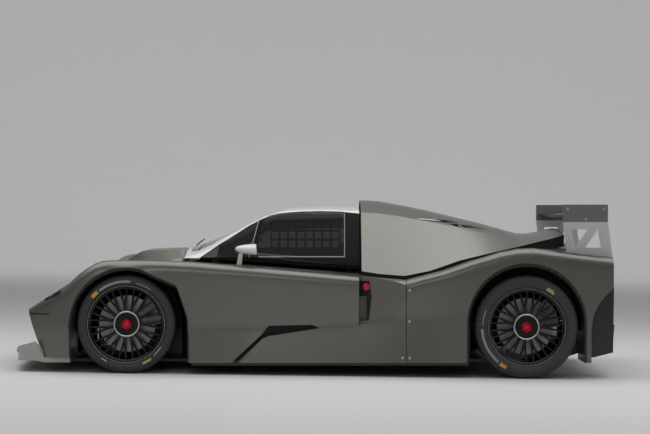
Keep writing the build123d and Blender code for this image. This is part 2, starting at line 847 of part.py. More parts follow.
# Rear wing
WING_HALF = 800
PLATE = 12
WING_FRONT_X = RX + 230
WING_REAR_X = RX + 505
PLATE_LOW_Z = 932
PLATE_HIGH_Z = 1039
LEAD = (WING_FRONT_X + 14, 976)
TRAIL = (WING_REAR_X - 12, 1016)
with BuildPart() as rear_wing:
    with BuildSketch(Plane.XZ.offset(-(WING_HALF - SEAT_GAP))):
        with BuildLine():
            ThreePointArc(LEAD, (LEAD[0] + 110, LEAD[1] + 6), TRAIL)
            Line(TRAIL, (TRAIL[0], TRAIL[1] - 4))
            ThreePointArc((TRAIL[0], TRAIL[1] - 4), (LEAD[0] + 90, LEAD[1] - 22), LEAD)
        make_face()
        with Locations((TRAIL[0] - 2, TRAIL[1] + 4)):
            Rectangle(4, 18)
    extrude(amount=2 * (WING_HALF - SEAT_GAP))
keep("rear_wing", rear_wing.part)

upper_side = [
    (WING_FRONT_X, PLATE_LOW_Z),
    (WING_FRONT_X, PLATE_HIGH_Z),
    (WING_REAR_X, PLATE_HIGH_Z),
    (WING_REAR_X, PLATE_LOW_Z),
]
keep("wing_endplates", both_sides(side_prism(upper_side, WING_HALF, WING_HALF + PLATE)))
stand_side = [
    (WING_FRONT_X, PLATE_LOW_Z - SEAT_GAP),
    (WING_REAR_X, PLATE_LOW_Z - SEAT_GAP),
    (RX + 536, 700),
    (RX + 257, 700),
]
front_window = [(RX + 285, 887), (RX + 383, 887), (RX + 304, 776)]
rear_window = [(RX + 444, 887), (RX + 463, 776), (RX + 365, 776)]
with BuildPart() as wing_stand:
    add(side_prism(stand_side, WING_HALF, WING_HALF + PLATE))
    add(side_prism(front_window, WING_HALF - 5, WING_HALF + 30), mode=Mode.SUBTRACT)
    add(side_prism(rear_window, WING_HALF - 5, WING_HALF + 30), mode=Mode.SUBTRACT)
    add(flank_loft(REAR_FLANK, FLANK_INNER_Y), mode=Mode.SUBTRACT)
keep("wing_stands", both_sides(wing_stand.part))

# Tub
TUB_LOW = SILL_Z
TUB_RIM_Z = 590
TUB_FRONT_X = FX - 230
COCKPIT_X = FX + 400


def tub_plan(inset):
    """The tub's plan outline, or a smaller one inside its walls."""
    half = [
        (TUB_FRONT_X + inset, FOOTWELL_HALF - inset),
        (FX + 300, FOOTWELL_HALF - inset),
        (FX + 520, TUB_HALF - inset),
        (BULKHEAD_X - inset, TUB_HALF - inset),
    ]
    return half + [(x, -y) for x, y in reversed(half)]


def tub_form(inset):
    """The tub's outer form, or its inner form when inset by the wall."""
    side = [
        (TUB_FRONT_X, TUB_LOW + inset),
        (BULKHEAD_X, TUB_LOW + inset),
        (BULKHEAD_X, TUB_RIM_Z - inset),
        (FX + 240, TUB_RIM_Z - inset),
        (FX - 60, 555 - inset),
        (TUB_FRONT_X, 470 - inset),
    ]
    with BuildPart() as form:
        add(plan_prism(tub_plan(inset), 0, 900))
        add(side_prism(side, -600, 600), mode=Mode.INTERSECT)
    return form.part


with BuildPart() as cockpit:
    add(plan_prism(tub_plan(TUB_WALL), TUB_LOW + TUB_WALL, 900))
    add(block((COCKPIT_X, -TUB_HALF, 0), (BULKHEAD_X, TUB_HALF, 900)), mode=Mode.INTERSECT)
with BuildPart() as tub:
    add(tub_form(0))
    add(tub_form(TUB_WALL), mode=Mode.SUBTRACT)
    add(cockpit.part, mode=Mode.SUBTRACT)
keep("tub", tub.part)

# Hinge brackets on the scuttle
CHEEK = 9
CHEEK_GAP = 1
bracket_side = [
    (HINGE_X - 30, TUB_RIM_Z + SEAT_GAP),
    (HINGE_X + 30, TUB_RIM_Z + SEAT_GAP),
    (HINGE_X + 14, HINGE_Z),
    (HINGE_X - 14, HINGE_Z),
]
inner_cheek = HINGE_Y - HINGE_LUG_WIDTH / 2 - CHEEK_GAP
outer_cheek = HINGE_Y + HINGE_LUG_WIDTH / 2 + CHEEK_GAP
with BuildPart() as hinge_bracket:
    for near in (inner_cheek - CHEEK, outer_cheek):
        add(side_prism(bracket_side, near, near + CHEEK))
        with BuildSketch(Plane.XZ.offset(-near)):
            with Locations((HINGE_X, HINGE_Z)):
                Circle(HINGE_PIN_R * 2)
        extrude(amount=-CHEEK)
    with BuildSketch(Plane.XZ.offset(-(inner_cheek - CHEEK))):
        with Locations((HINGE_X, HINGE_Z)):
            Circle(HINGE_PIN_R)
    extrude(amount=-(outer_cheek - inner_cheek + 2 * CHEEK))
    foot_low = (HINGE_X - 30, inner_cheek - CHEEK, TUB_RIM_Z + SEAT_GAP)
    foot_high = (HINGE_X + 30, outer_cheek + CHEEK, TUB_RIM_Z + 10)
    add(block(foot_low, foot_high))
keep("canopy_hinges", both_sides(hinge_bracket.part))

# Rear bulkhead inside the engine cover's front edge
BULKHEAD = 12
BULKHEAD_TOP_Z = 1000
BULKHEAD_LOW_Z = 560
with BuildPart() as rear_bulkhead:
    plate_low = (BULKHEAD_X + SEAT_GAP, -700, BULKHEAD_LOW_Z)
    add(block(plate_low, (BULKHEAD_X + BULKHEAD, 700, BULKHEAD_TOP_Z)))
    add(cover_form(SKIN + SEAT_GAP, 90), mode=Mode.INTERSECT)
    add(both_sides(seal_rail.part), mode=Mode.SUBTRACT)
    with Locations((0, 0, SEAT_GAP)):
        for flank in (FRONT_FLANK, REAR_FLANK):
            room = flank_loft(flank, FLANK_INNER_Y - SEAT_GAP)
            add(both_sides(room), mode=Mode.SUBTRACT)
keep("rear_bulkhead", rear_bulkhead.part)

# Engine and transaxle
ENGINE_HALF = 290
ENGINE_TOP = 590
ENGINE_REAR_X = RX - 300
GEARBOX_HALF = 170
GEARBOX_LOW = 130
GEARBOX_TOP = 490
GEARBOX_REAR_X = RX + 210
with BuildPart() as engine_block:
    engine_x = BULKHEAD_X + BULKHEAD + SEAT_GAP
    add(block((engine_x, -ENGINE_HALF, SILL_Z), (ENGINE_REAR_X, ENGINE_HALF, ENGINE_TOP)))
    chamfer(engine_block.edges().filter_by(Axis.X), length=60)
    gearbox_side = [
        (ENGINE_REAR_X - 1, GEARBOX_LOW),
        (GEARBOX_REAR_X - 50, GEARBOX_LOW),
        (GEARBOX_REAR_X, GEARBOX_LOW + 30),
        (GEARBOX_REAR_X, GEARBOX_TOP),
        (ENGINE_REAR_X - 1, GEARBOX_TOP),
    ]
    add(side_prism(gearbox_side, -GEARBOX_HALF, GEARBOX_HALF))
keep("engine_block", engine_block.part)

# Cabin
CAGE_R = 19
CAGE_Y = TUB_HALF - TUB_WALL / 2
HOOP_X = BULKHEAD_X - 60
HOOP_TOP_Z = 925
PILLAR_FOOT_X = CX + 150
RAIL_Y = TUB_HALF - 80
HOOP_CORNER_Y = CAGE_Y - 90
with BuildPart() as roll_cage:
    with BuildLine(Plane.YZ.offset(HOOP_X)) as hoop:
        FilletPolyline(
            (-CAGE_Y, TUB_RIM_Z + SEAT_GAP),
            (-CAGE_Y, 740),
            (-HOOP_CORNER_Y, HOOP_TOP_Z),
            (HOOP_CORNER_Y, HOOP_TOP_Z),
            (CAGE_Y, 740),
            (CAGE_Y, TUB_RIM_Z + SEAT_GAP),
            radius=[150, 90, 90, 150],
        )
    with BuildSketch(Plane.XY.offset(TUB_RIM_Z + SEAT_GAP)):
        with Locations((HOOP_X, -CAGE_Y)):
            Circle(CAGE_R)
    sweep(path=hoop.line)
    for side in (-1, 1):
        with BuildLine(Plane.XZ.offset(-side * RAIL_Y)) as rail:
            FilletPolyline(
                (HOOP_X, HOOP_TOP_Z - 14),
                (CX + 520, HOOP_TOP_Z - 30),
                (PILLAR_FOOT_X, 650),
                (PILLAR_FOOT_X, TUB_RIM_Z + SEAT_GAP),
                radius=[160, 30],
            )
        with BuildSketch(Plane.YZ.offset(HOOP_X)):
            with Locations((side * RAIL_Y, HOOP_TOP_Z - 14)):
                Circle(CAGE_R)
        sweep(path=rail.line)
    with BuildSketch(Plane.XY.offset(TUB_RIM_Z + SEAT_GAP)):
        with Locations((PILLAR_FOOT_X, RAIL_Y), (PILLAR_FOOT_X, -RAIL_Y)):
            Circle(CAGE_R + 12)
        with Locations((HOOP_X, CAGE_Y), (HOOP_X, -CAGE_Y)):
            Rectangle(80, TUB_WALL)
    extrude(amount=6)
keep("roll_cage", roll_cage.part)

DASH_X = (FX + 430, FX + 535)
dash_side = [
    (DASH_X[0], 440),
    (DASH_X[0], 575),
    (DASH_X[0] + 60, 585),
    (DASH_X[1], 560),
    (DASH_X[1], 470),
    (DASH_X[1] - 40, 440),
]
with BuildPart() as dashboard:
    add(side_prism(dash_side, -TUB_HALF, TUB_HALF))
    add(plan_prism(tub_plan(TUB_WALL + SEAT_GAP), 0, 900), mode=Mode.INTERSECT)
keep("dashboard", dashboard.part)

SEAT_Y = 215
SEAT_HALF = 190
BOLSTER = 42
SEAT_FOOT_Z = TUB_LOW + TUB_WALL + SEAT_GAP
SX = BULKHEAD_X
seat_side = [
    (SX - 640, SEAT_FOOT_Z),
    (SX - 640, 250),
    (SX - 360, 185),
    (SX - 270, 225),
    (SX - 130, 770),
    (SX - 90, 790),
    (SX - 60, 760),
    (SX - 190, SEAT_FOOT_Z),
]
bolster_side = [
    (SX - 630, SEAT_FOOT_Z),
    (SX - 630, 320),
    (SX - 380, 330),
    (SX - 290, 420),
    (SX - 230, 640),
    (SX - 150, 660),
    (SX - 120, 600),
    (SX - 190, SEAT_FOOT_Z),
]
with BuildPart() as driver_seat:
    add(side_prism(seat_side, -SEAT_Y - SEAT_HALF, -SEAT_Y + SEAT_HALF))
    for near in (-SEAT_Y - SEAT_HALF, -SEAT_Y + SEAT_HALF - BOLSTER):
        add(side_prism(bolster_side, near, near + BOLSTER))
keep("driver_seat", driver_seat.part)

WHEEL_R = 138
WHEEL_TUBE_R = 14
WHEEL_X = DASH_X[1] + 130
WHEEL_Z = 512
with BuildPart() as steering_wheel:
    with Locations(Plane((WHEEL_X, -SEAT_Y, WHEEL_Z), z_dir=(1, 0, 0)).location):
        Torus(WHEEL_R, WHEEL_TUBE_R)
        Cylinder(42, 20)
    add(block((WHEEL_X - 8, -SEAT_Y - WHEEL_R, WHEEL_Z - 16), (WHEEL_X + 8, -SEAT_Y + WHEEL_R, WHEEL_Z + 16)))
    with BuildSketch(Plane.YZ.offset(DASH_X[1] + SEAT_GAP)):
        with Locations((-SEAT_Y, WHEEL_Z)):
            Circle(17)
    extrude(amount=WHEEL_X - DASH_X[1])
keep("steering_wheel", steering_wheel.part)

NET_THICKNESS = 3
NET_X = (CX + 531, CX + 969)
NET_Z = (755, 930)
NET_Y = RAIL_Y + CAGE_R + SEAT_GAP
with BuildPart() as window_net:
    with BuildSketch(Plane.XZ.offset(NET_Y)):
        with Locations(((NET_X[0] + NET_X[1]) / 2, (NET_Z[0] + NET_Z[1]) / 2)):
            Rectangle(NET_X[1] - NET_X[0], NET_Z[1] - NET_Z[0])
            with GridLocations(54, 56, 8, 3):
                Rectangle(40, 42, mode=Mode.SUBTRACT)
    extrude(amount=NET_THICKNESS)
keep("window_net", window_net.part)

# Mirrors
MIRROR_Y = 820
MIRROR_X = (FX + 645, FX + 786)
MIRROR_Z = (725, 804)
with BuildPart() as mirror_head:
    for x, half, low, high in (
        (MIRROR_X[0], 22, 745, 778),
        (MIRROR_X[0] + 40, 62, 729, 800),
        (MIRROR_X[1], 74, MIRROR_Z[0], MIRROR_Z[1]),
    ):
        with BuildSketch(Plane.YZ.offset(x)):
            with Locations((MIRROR_Y, (low + high) / 2)):
                RectangleRounded(2 * half, high - low, 15)
    loft(ruled=True)
    stalk = [
        (MIRROR_X[0] + 20, 640),
        (MIRROR_X[0] + 52, 640),
        (MIRROR_X[0] + 58, 740),
        (MIRROR_X[0] + 34, 740),
    ]
    add(side_prism(stalk, MIRROR_Y - 18, MIRROR_Y - 6))
    add(flank_loft(FRONT_FLANK, FLANK_INNER_Y), mode=Mode.SUBTRACT)
keep("mirrors", both_sides(mirror_head.part))

# White pillar feet on the nose, ahead of the canopy
foot_side = [
    (CX - 93, 690),
    (CX - SCREEN_GAP, 711),
    (CX - SCREEN_GAP, 660),
    (CX - 93, 660),
]
with BuildPart() as pillar_foot:
    add(side_prism(foot_side, TUB_HALF - 10, FLANK_INNER_Y - 25))
    add(nose_loft(0), mode=Mode.SUBTRACT)
keep("pillar_feet", both_sides(pillar_foot.part))

# Grille behind the nose's mouth
GRILLE_X = FX - 440
GRILLE_HALF = FLANK_INNER_Y - SEAM_GAP - SKIN - SEAT_GAP
with BuildPart() as front_grille:
    grille_low = (GRILLE_X, -GRILLE_HALF, SPLITTER_TOP + SEAT_GAP)
    add(block(grille_low, (GRILLE_X + 8, GRILLE_HALF, MOUTH_HIGH + 40)))
    with BuildSketch(Plane.YZ.offset(GRILLE_X)):
        with Locations((0, (MOUTH_LOW + MOUTH_HIGH) / 2)):
            with GridLocations(66, 30, 13, 5):
                RectangleRounded(54, 20, 6)
    extrude(amount=8, mode=Mode.SUBTRACT)
keep("front_grille", front_grille.part)


# Wheels, drawn round Z with the outer face up, then placed at each corner
def turned(points):
    """A ring from a half section of (radius, height) points."""
    with BuildPart() as ring:
        with BuildSketch(Plane.XZ):
            with BuildLine():
                Polyline(*points, close=True)
            make_face()
        revolve(axis=Axis.Z)
    return ring.part


def make_tyre(radius, width):
    half = width / 2
    bead = half - 18 - SEAT_GAP
    seat_r = RIM_R - 14 + SEAT_GAP
    side = [
        (seat_r, 0),
        (seat_r, bead),
        (RIM_R + SEAT_GAP, bead),
        (RIM_R + 3, half - 10),
        (RIM_R + 22, half),
        (radius - TYRE_SHOULDER, half - 3),
        (radius - 6, half - 20),
        (radius, half - 40),
    ]
    return turned(side + [(r, -a) for r, a in reversed(side[1:])])


def make_rim(width):
    rim_half = width / 2 - 10
    barrel = RIM_R - 14
    flange = 8
    with BuildPart() as rim:
        add(
            turned(
                [
                    (barrel - RIM_WALL, -rim_half),
                    (barrel - RIM_WALL, rim_half - 14),
                    (RIM_R - 5, rim_half),
                    (RIM_R, rim_half),
                    (RIM_R, rim_half - flange),
                    (barrel, rim_half - flange),
                    (barrel, flange - rim_half),
                    (RIM_R, flange - rim_half),
                    (RIM_R, -rim_half),
                ]
            )
        )
    face = rim_half - 34
    with BuildPart() as spokes:
        with BuildSketch(Plane.XY.offset(-rim_half)):
            with PolarLocations(0, SPOKE_COUNT):
                Polygon(
                    (60, -SPOKE_ROOT_WIDTH / 2),
                    (barrel - 2, -SPOKE_TIP_WIDTH / 2),
                    (barrel - 2, SPOKE_TIP_WIDTH / 2),
                    (60, SPOKE_ROOT_WIDTH / 2),
                    align=None,
                )
        extrude(amount=2 * rim_half)
        dish = turned(
            [
                (50, face - SPOKE_DEPTH - 6),
                (barrel, rim_half - 18 - SPOKE_DEPTH),
                (barrel, rim_half - 18),
                (50, face),
            ]
        )
        add(dish, mode=Mode.INTERSECT)
    hub = turned(
        [
            (0, face - HUB_FACE),
            (HUB_RING_R, face - HUB_FACE),
            (HUB_RING_R, face + 4),
            (HUB_POCKET_R, face + 4),
            (HUB_POCKET_R, face - 12),
            (NUT_R, face - 12),
            (NUT_R - 3, face + 14),
            (0, face + 14),
        ]
    )
    with BuildPart() as wheel:
        add(rim.part)
        add(spokes.part)
        add(hub)
    return wheel.part


def make_disc(width, shaft):
    """The brake disc on its bell; a rear one carries the drive shaft."""
    hub_back = width / 2 - 10 - 34 - HUB_FACE - SEAT_GAP
    with BuildPart() as disc:
        add(
            turned(
                [
                    (DISC_INNER_R, 6 - DISC_THICKNESS),
                    (DISC_R, 6 - DISC_THICKNESS),
                    (DISC_R, 6),
                    (DISC_INNER_R + 8, 6),
                    (DISC_INNER_R + 8, 0),
                    (60, 0),
                    (60, hub_back),
                    (48, hub_back),
                    (48, -9),
                    (DISC_INNER_R, -9),
                ]
            )
        )
        if shaft:
            add(turned([(0, hub_back - 10), (50, hub_back - 10), (50, hub_back), (0, hub_back)]))
            add(turned([(0, -shaft), (SHAFT_R, -shaft), (SHAFT_R, hub_back - 5), (0, hub_back - 5)]))
    return disc.part


SHAFT_R = 15
SHAFT_BORE_R = 21
CALIPER_ARC = 56


def make_knuckle(width, driven):
    """The wheel carrier: bearing housing, upright arm with two ball-joint lugs and the
    brake caliper that straddles the disc."""
    hub_back = width / 2 - 10 - 34 - HUB_FACE - 2 * SEAT_GAP
    kingpin = -KINGPIN_INBOARD
    with BuildPart() as knuckle:
        add(turned([(0, kingpin - 30), (CARRIER_R, kingpin - 30), (CARRIER_R, -28), (0, -28)]))
        if not driven:
            add(turned([(0, -29), (30, -29), (30, hub_back), (0, hub_back)]))
        arm_low = (-19, -BALL_JOINT_REACH, kingpin - ARM_R)
        add(block(arm_low, (19, BALL_JOINT_REACH, kingpin + ARM_R)))
        with BuildSketch(Plane.XZ):
            with BuildLine():
                Polyline(
                    (100, -50),
                    (DISC_R + 32, -50),
                    (DISC_R + 32, 34),
                    (118, 34),
                    (118, 10),
                    (DISC_R + 5, 10),
                    (DISC_R + 5, -28),
                    (100, -28),
                    close=True,
                )
            make_face()
        revolve(axis=Axis.Z, revolution_arc=CALIPER_ARC)
        with BuildSketch(Plane.XY.offset(-50)):
            with BuildLine():
                Polyline((0, -30), (112, 8), (80, 92), (0, 30), close=True)
            make_face()
        extrude(amount=20)
        if driven:
            bore = turned([(0, -200), (SHAFT_BORE_R, -200), (SHAFT_BORE_R, 100), (0, 100)])
            add(bore, mode=Mode.SUBTRACT)
    return knuckle.part


def place(part, plane):
    """A copy of a part moved onto a plane."""
    with BuildPart() as placed:
        with Locations(plane.location):
            add(part)
    return placed.part


# Columns: axle name, axle position, tyre radius, tyre width, driven
AXLES = [
    ("front", FRONT_AXLE_X, FRONT_TYRE_R, FRONT_TYRE_WIDTH, False),
    ("rear", REAR_AXLE_X, REAR_TYRE_R, REAR_TYRE_WIDTH, True),
]


def tube(start, end, radius):
    """A round bar between two points."""
    along = Vector(*end) - Vector(*start)
    with BuildPart() as bar:
        with BuildSketch(Plane(start, z_dir=along)):
            Circle(radius)
        extrude(amount=along.length)
    return bar.part


BOSS_R = 17
BOSS_HEIGHT = 20
PAD = 22
PAD_THICKNESS = 10


def wishbones(axle_x, tyre_r, width, pivot_y):
    """Upper and lower wishbones of the right wheel: ball-joint boss, two legs and their
    pivot pads on the car's centre structure."""
    kingpin_y = TYRE_FACE_Y - width / 2 - KINGPIN_INBOARD
    bars = []
    for side in (1, -1):
        near = tyre_r + side * (BALL_JOINT_REACH + SEAT_GAP)
        far = near + side * BOSS_HEIGHT
        middle = (near + far) / 2
        with BuildPart() as bone:
            with BuildSketch(Plane.XY.offset(min(near, far))):
                with Locations((axle_x, kingpin_y)):
                    Circle(BOSS_R)
            extrude(amount=BOSS_HEIGHT)
            for spread in (-PIVOT_SPREAD, PIVOT_SPREAD):
                pivot = (axle_x + spread, pivot_y + SEAT_GAP, middle)
                add(tube(pivot, (axle_x, kingpin_y, middle), 9))
                pad_low = (pivot[0] - PAD, pivot[1], middle - PAD)
                pad_high = (pivot[0] + PAD, pivot[1] + PAD_THICKNESS, middle + PAD)
                add(block(pad_low, pad_high))
            inside = block((axle_x - 400, 0, 0), (axle_x + 400, pivot_y + SEAT_GAP, 900))
            add(inside, mode=Mode.SUBTRACT)
        bars.append(bone.part)
    with BuildPart() as pair:
        for bar in bars:
            add(bar)
    return both_sides(pair.part)


for axle, axle_x, tyre_r, width, driven in AXLES:
    tyre = make_tyre(tyre_r, width)
    rim = make_rim(width)
    centre_y = TYRE_FACE_Y - width / 2
    disc = make_disc(width, centre_y - GEARBOX_HALF - SEAT_GAP if driven else 0)
    knuckle = make_knuckle(width, driven)
    hub_plane = Plane((axle_x, -centre_y, tyre_r), x_dir=(1, 0, 0), z_dir=(0, -1, 0))
    for name, part in (("tyre", tyre), ("rim", rim), ("brake_disc", disc), ("upright", knuckle)):
        left = place(part, hub_plane)
        keep(f"{axle}_{name}_left", left, level=False)
        keep(f"{axle}_{name}_right", mirrored(left), level=False)
    pivot_y = GEARBOX_HALF if driven else FOOTWELL_HALF
    keep(f"{axle}_wishbones", wishbones(axle_x, tyre_r, width, pivot_y), level=False)

os.makedirs("parts", exist_ok=True)
for label, piece in pieces.items():
    export_step(piece, f"parts/{label}.step")
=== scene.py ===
"""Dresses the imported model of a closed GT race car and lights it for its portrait.

The solids come from the frame. This script gives each of them a finish, rounds the skins that
the frame holds as flat facets, and adds the trim that sits on them. Sizes are in metres. The
body's own places are written level, in millimetres, and tipped by the car's rake when a piece
is settled.
"""

from __future__ import annotations

import json
import logging
import math
from dataclasses import dataclass
from enum import Enum
from typing import Any, Mapping, Optional, Sequence

import bpy
import numpy
from mathutils import Matrix, Vector
from mathutils.bvhtree import BVHTree
from mathutils.kdtree import KDTree

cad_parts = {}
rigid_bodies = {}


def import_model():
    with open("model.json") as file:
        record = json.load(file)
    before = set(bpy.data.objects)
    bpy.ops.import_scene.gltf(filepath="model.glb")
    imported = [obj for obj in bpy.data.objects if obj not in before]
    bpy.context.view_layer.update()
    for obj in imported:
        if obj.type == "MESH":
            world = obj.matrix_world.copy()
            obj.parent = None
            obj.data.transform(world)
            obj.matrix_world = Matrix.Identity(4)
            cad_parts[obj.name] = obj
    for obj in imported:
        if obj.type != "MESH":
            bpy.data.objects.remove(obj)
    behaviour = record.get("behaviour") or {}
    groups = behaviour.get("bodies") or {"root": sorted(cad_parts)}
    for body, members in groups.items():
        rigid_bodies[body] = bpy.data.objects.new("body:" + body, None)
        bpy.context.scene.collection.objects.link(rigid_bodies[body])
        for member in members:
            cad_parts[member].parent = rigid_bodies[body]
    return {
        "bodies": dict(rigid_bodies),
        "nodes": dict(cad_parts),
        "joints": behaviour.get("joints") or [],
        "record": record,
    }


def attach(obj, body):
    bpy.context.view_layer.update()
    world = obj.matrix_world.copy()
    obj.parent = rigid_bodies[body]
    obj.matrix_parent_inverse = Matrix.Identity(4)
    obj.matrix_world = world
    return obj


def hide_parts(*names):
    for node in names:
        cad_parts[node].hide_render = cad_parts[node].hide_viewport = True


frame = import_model()

LOG = logging.getLogger("race_car")
Colour = tuple[float, float, float, float]
Point = tuple[float, float, float]

RAKE = math.radians(0.78)
MM = 0.001

# The hubs in the body's level frame, in millimetres.
FRONT_HUB = (-1130.84, 313.42)
REAR_HUB = (1299.14, 295.34)
# How far the rear arch's centre stands above its hub.
REAR_ARCH_RISE = 17.0

# Shader node types and the settings that they take, under short names.
MATH = "ShaderNodeMath"
MIX = "ShaderNodeMix"
NOISE = "ShaderNodeTexNoise"
BUMP = "ShaderNodeBump"
PLACE = "ShaderNodeTexCoord"
SPLIT = "ShaderNodeSeparateXYZ"
ADD = {"operation": "ADD"}
SUBTRACT = {"operation": "SUBTRACT"}
MULTIPLY = {"operation": "MULTIPLY"}
DIVIDE = {"operation": "DIVIDE"}
MULTIPLY_ADD = {"operation": "MULTIPLY_ADD"}
ABSOLUTE = {"operation": "ABSOLUTE"}
FLOOR = {"operation": "FLOOR"}
MODULO = {"operation": "FLOORED_MODULO"}
LESS_THAN = {"operation": "LESS_THAN"}
SQUARE_ROOT = {"operation": "SQRT"}
SINE = {"operation": "SINE"}
COLOURS = {"data_type": "RGBA"}


class Side(Enum):
    """The two sides of the car, by the sign of Y."""

    LEFT = -1
    RIGHT = 1

    @property
    def word(self) -> str:
        """The side's name as the nodes write it."""
        return self.name.lower()


class Axle(Enum):
    """The two axles."""

    FRONT = "front"
    REAR = "rear"


def linear(code: str) -> Colour:
    """Turns an sRGB hex value into a linear colour.

    Args:
        code: six hex digits.

    Returns:
        Red, green, blue and a full alpha, for a shader socket.
    """
    shares = [int(code[i : i + 2], 16) / 255 for i in (0, 2, 4)]
    red, green, blue = [s / 12.92 if s <= 0.04045 else ((s + 0.055) / 1.055) ** 2.4 for s in shares]
    return (red, green, blue, 1.0)


def add_node(
    tree: bpy.types.NodeTree,
    kind: str,
    settings: Optional[Mapping[str, Any]] = None,
    inputs: Optional[Mapping[Any, Any]] = None,
) -> bpy.types.Node:
    """Adds a node with its settings and links.

    Args:
        tree: the material's or world's node tree.
        kind: the node's type name.
        settings: attribute values.
        inputs: socket name or index to a value, or to the socket that feeds it.

    Returns:
        The new node.
    """
    node = tree.nodes.new(kind)
    for name, value in (settings or {}).items():
        setattr(node, name, value)
    for key, value in (inputs or {}).items():
        if isinstance(value, bpy.types.NodeSocket):
            tree.links.new(value, node.inputs[key])
        else:
            node.inputs[key].default_value = value
    return node


@dataclass(frozen=True)
class Finish:
    """A surface finish: what the maker calls it, and the values of its shader."""

    name: str
    colour: str
    roughness: float
    metallic: float = 0.0
    coat: float = 0.0
    coat_roughness: float = 0.05
    ior: float = 1.5

    def material(self) -> bpy.types.Material:
        """Makes the node material once.

        Returns:
            The material, new or already made.
        """
        found = bpy.data.materials.get(self.name)
        if found:
            return found
        material = bpy.data.materials.new(self.name)
        material.use_nodes = True
        tree = material.node_tree
        shader = tree.nodes["Principled BSDF"]
        shader.inputs["Base Color"].default_value = linear(self.colour)
        shader.inputs["Roughness"].default_value = self.roughness
        shader.inputs["Metallic"].default_value = self.metallic
        shader.inputs["Coat Weight"].default_value = self.coat
        shader.inputs["Coat Roughness"].default_value = self.coat_roughness
        shader.inputs["IOR"].default_value = self.ior
        material.diffuse_color = linear(self.colour)
        self.dress(tree, shader)
        return material

    def dress(self, tree: bpy.types.NodeTree, shader: bpy.types.Node) -> None:
        """Adds the finish's pattern. A plain finish gets faint handling marks."""
        place = add_node(tree, PLACE).outputs["Object"]
        marks = add_node(tree, NOISE, None, {"Vector": place, "Scale": 1 / (60 * MM), "Detail": 3.0})
        span = {0: marks.outputs[0], 1: 0.1, 2: self.roughness - 0.05}
        rough = add_node(tree, MATH, MULTIPLY_ADD, span).outputs[0]
        tree.links.new(rough, shader.inputs["Roughness"])


@dataclass(frozen=True)
class CarbonTwill(Finish):
    """Two-by-two twill of carbon tows under a satin clear coat.

    The tows lie along the car and up round each panel, so the flanks, the nose and the deck
    all read the same cloth. Crossing tows differ a little in brightness, as the fibres face
    the light two ways. A real tow is about 2 mm wide: it is drawn at 5 mm, because finer cloth
    turns to flat grey in the picture.
    """

    tow_mm: float = 5.0
    shade: str = "2c2b29"

    def dress(self, tree: bpy.types.NodeTree, shader: bpy.types.Node) -> None:
        """Draws the twill in colour and in roughness."""
        place = add_node(tree, PLACE).outputs["Object"]
        split = add_node(tree, SPLIT, None, {0: place}).outputs
        width = add_node(tree, MATH, ABSOLUTE, {0: split[1]}).outputs[0]
        rise = add_node(tree, MATH, SUBTRACT, {0: split[2], 1: width}).outputs[0]
        tows_along = add_node(tree, MATH, DIVIDE, {0: split[0], 1: self.tow_mm * MM}).outputs[0]
        tows_up = add_node(tree, MATH, DIVIDE, {0: rise, 1: self.tow_mm * MM}).outputs[0]
        along = add_node(tree, MATH, FLOOR, {0: tows_along}).outputs[0]
        across = add_node(tree, MATH, FLOOR, {0: tows_up}).outputs[0]
        both = add_node(tree, MATH, ADD, {0: along, 1: across}).outputs[0]
        step = add_node(tree, MATH, MODULO, {0: both, 1: 4.0}).outputs[0]
        warp = add_node(tree, MATH, LESS_THAN, {0: step, 1: 2.0}).outputs[0]
        drift = add_node(tree, NOISE, None, {"Vector": place, "Scale": 1 / (180 * MM), "Detail": 2})
        strength = add_node(tree, MATH, MULTIPLY_ADD, {0: drift.outputs[0], 1: 0.7, 2: 0.5}).outputs[0]
        warp_seen = add_node(tree, MATH, MULTIPLY, {0: warp, 1: strength}).outputs[0]
        shades = {0: warp_seen, 6: linear(self.shade), 7: linear(self.colour)}
        tree.links.new(add_node(tree, MIX, COLOURS, shades).outputs[2], shader.inputs["Base Color"])
        rough = add_node(tree, MATH, MULTIPLY_ADD, {0: warp, 1: -0.05, 2: self.roughness}).outputs[0]
        tree.links.new(rough, shader.inputs["Roughness"])


@dataclass(frozen=True)
class Grained(Finish):
    """A moulded or cast surface with a fine grain, slightly uneven in colour."""

    grain_mm: float = 1.5
    depth_mm: float = 0.05
    shade: str = "000000"
    spread: float = 0.3

    def dress(self, tree: bpy.types.NodeTree, shader: bpy.types.Node) -> None:
        """Grain as bump, and a slow change of colour."""
        place = add_node(tree, PLACE).outputs["Object"]
        broad = {"Vector": place, "Scale": 1 / (self.grain_mm * 40 * MM), "Detail": 4}
        clouds = add_node(tree, NOISE, None, broad).outputs[0]
        slow = add_node(tree, MATH, MULTIPLY, {0: clouds, 1: self.spread}).outputs[0]
        shades = {0: slow, 6: linear(self.colour), 7: linear(self.shade)}
        tree.links.new(add_node(tree, MIX, COLOURS, shades).outputs[2], shader.inputs["Base Color"])
        fine = {"Vector": place, "Scale": 1 / (self.grain_mm * MM), "Detail": 5}
        grain = add_node(tree, NOISE, None, fine).outputs[0]
        relief = {"Strength": 1.0, "Distance": self.depth_mm * MM, "Height": grain}
        tree.links.new(add_node(tree, BUMP, None, relief).outputs[0], shader.inputs["Normal"])


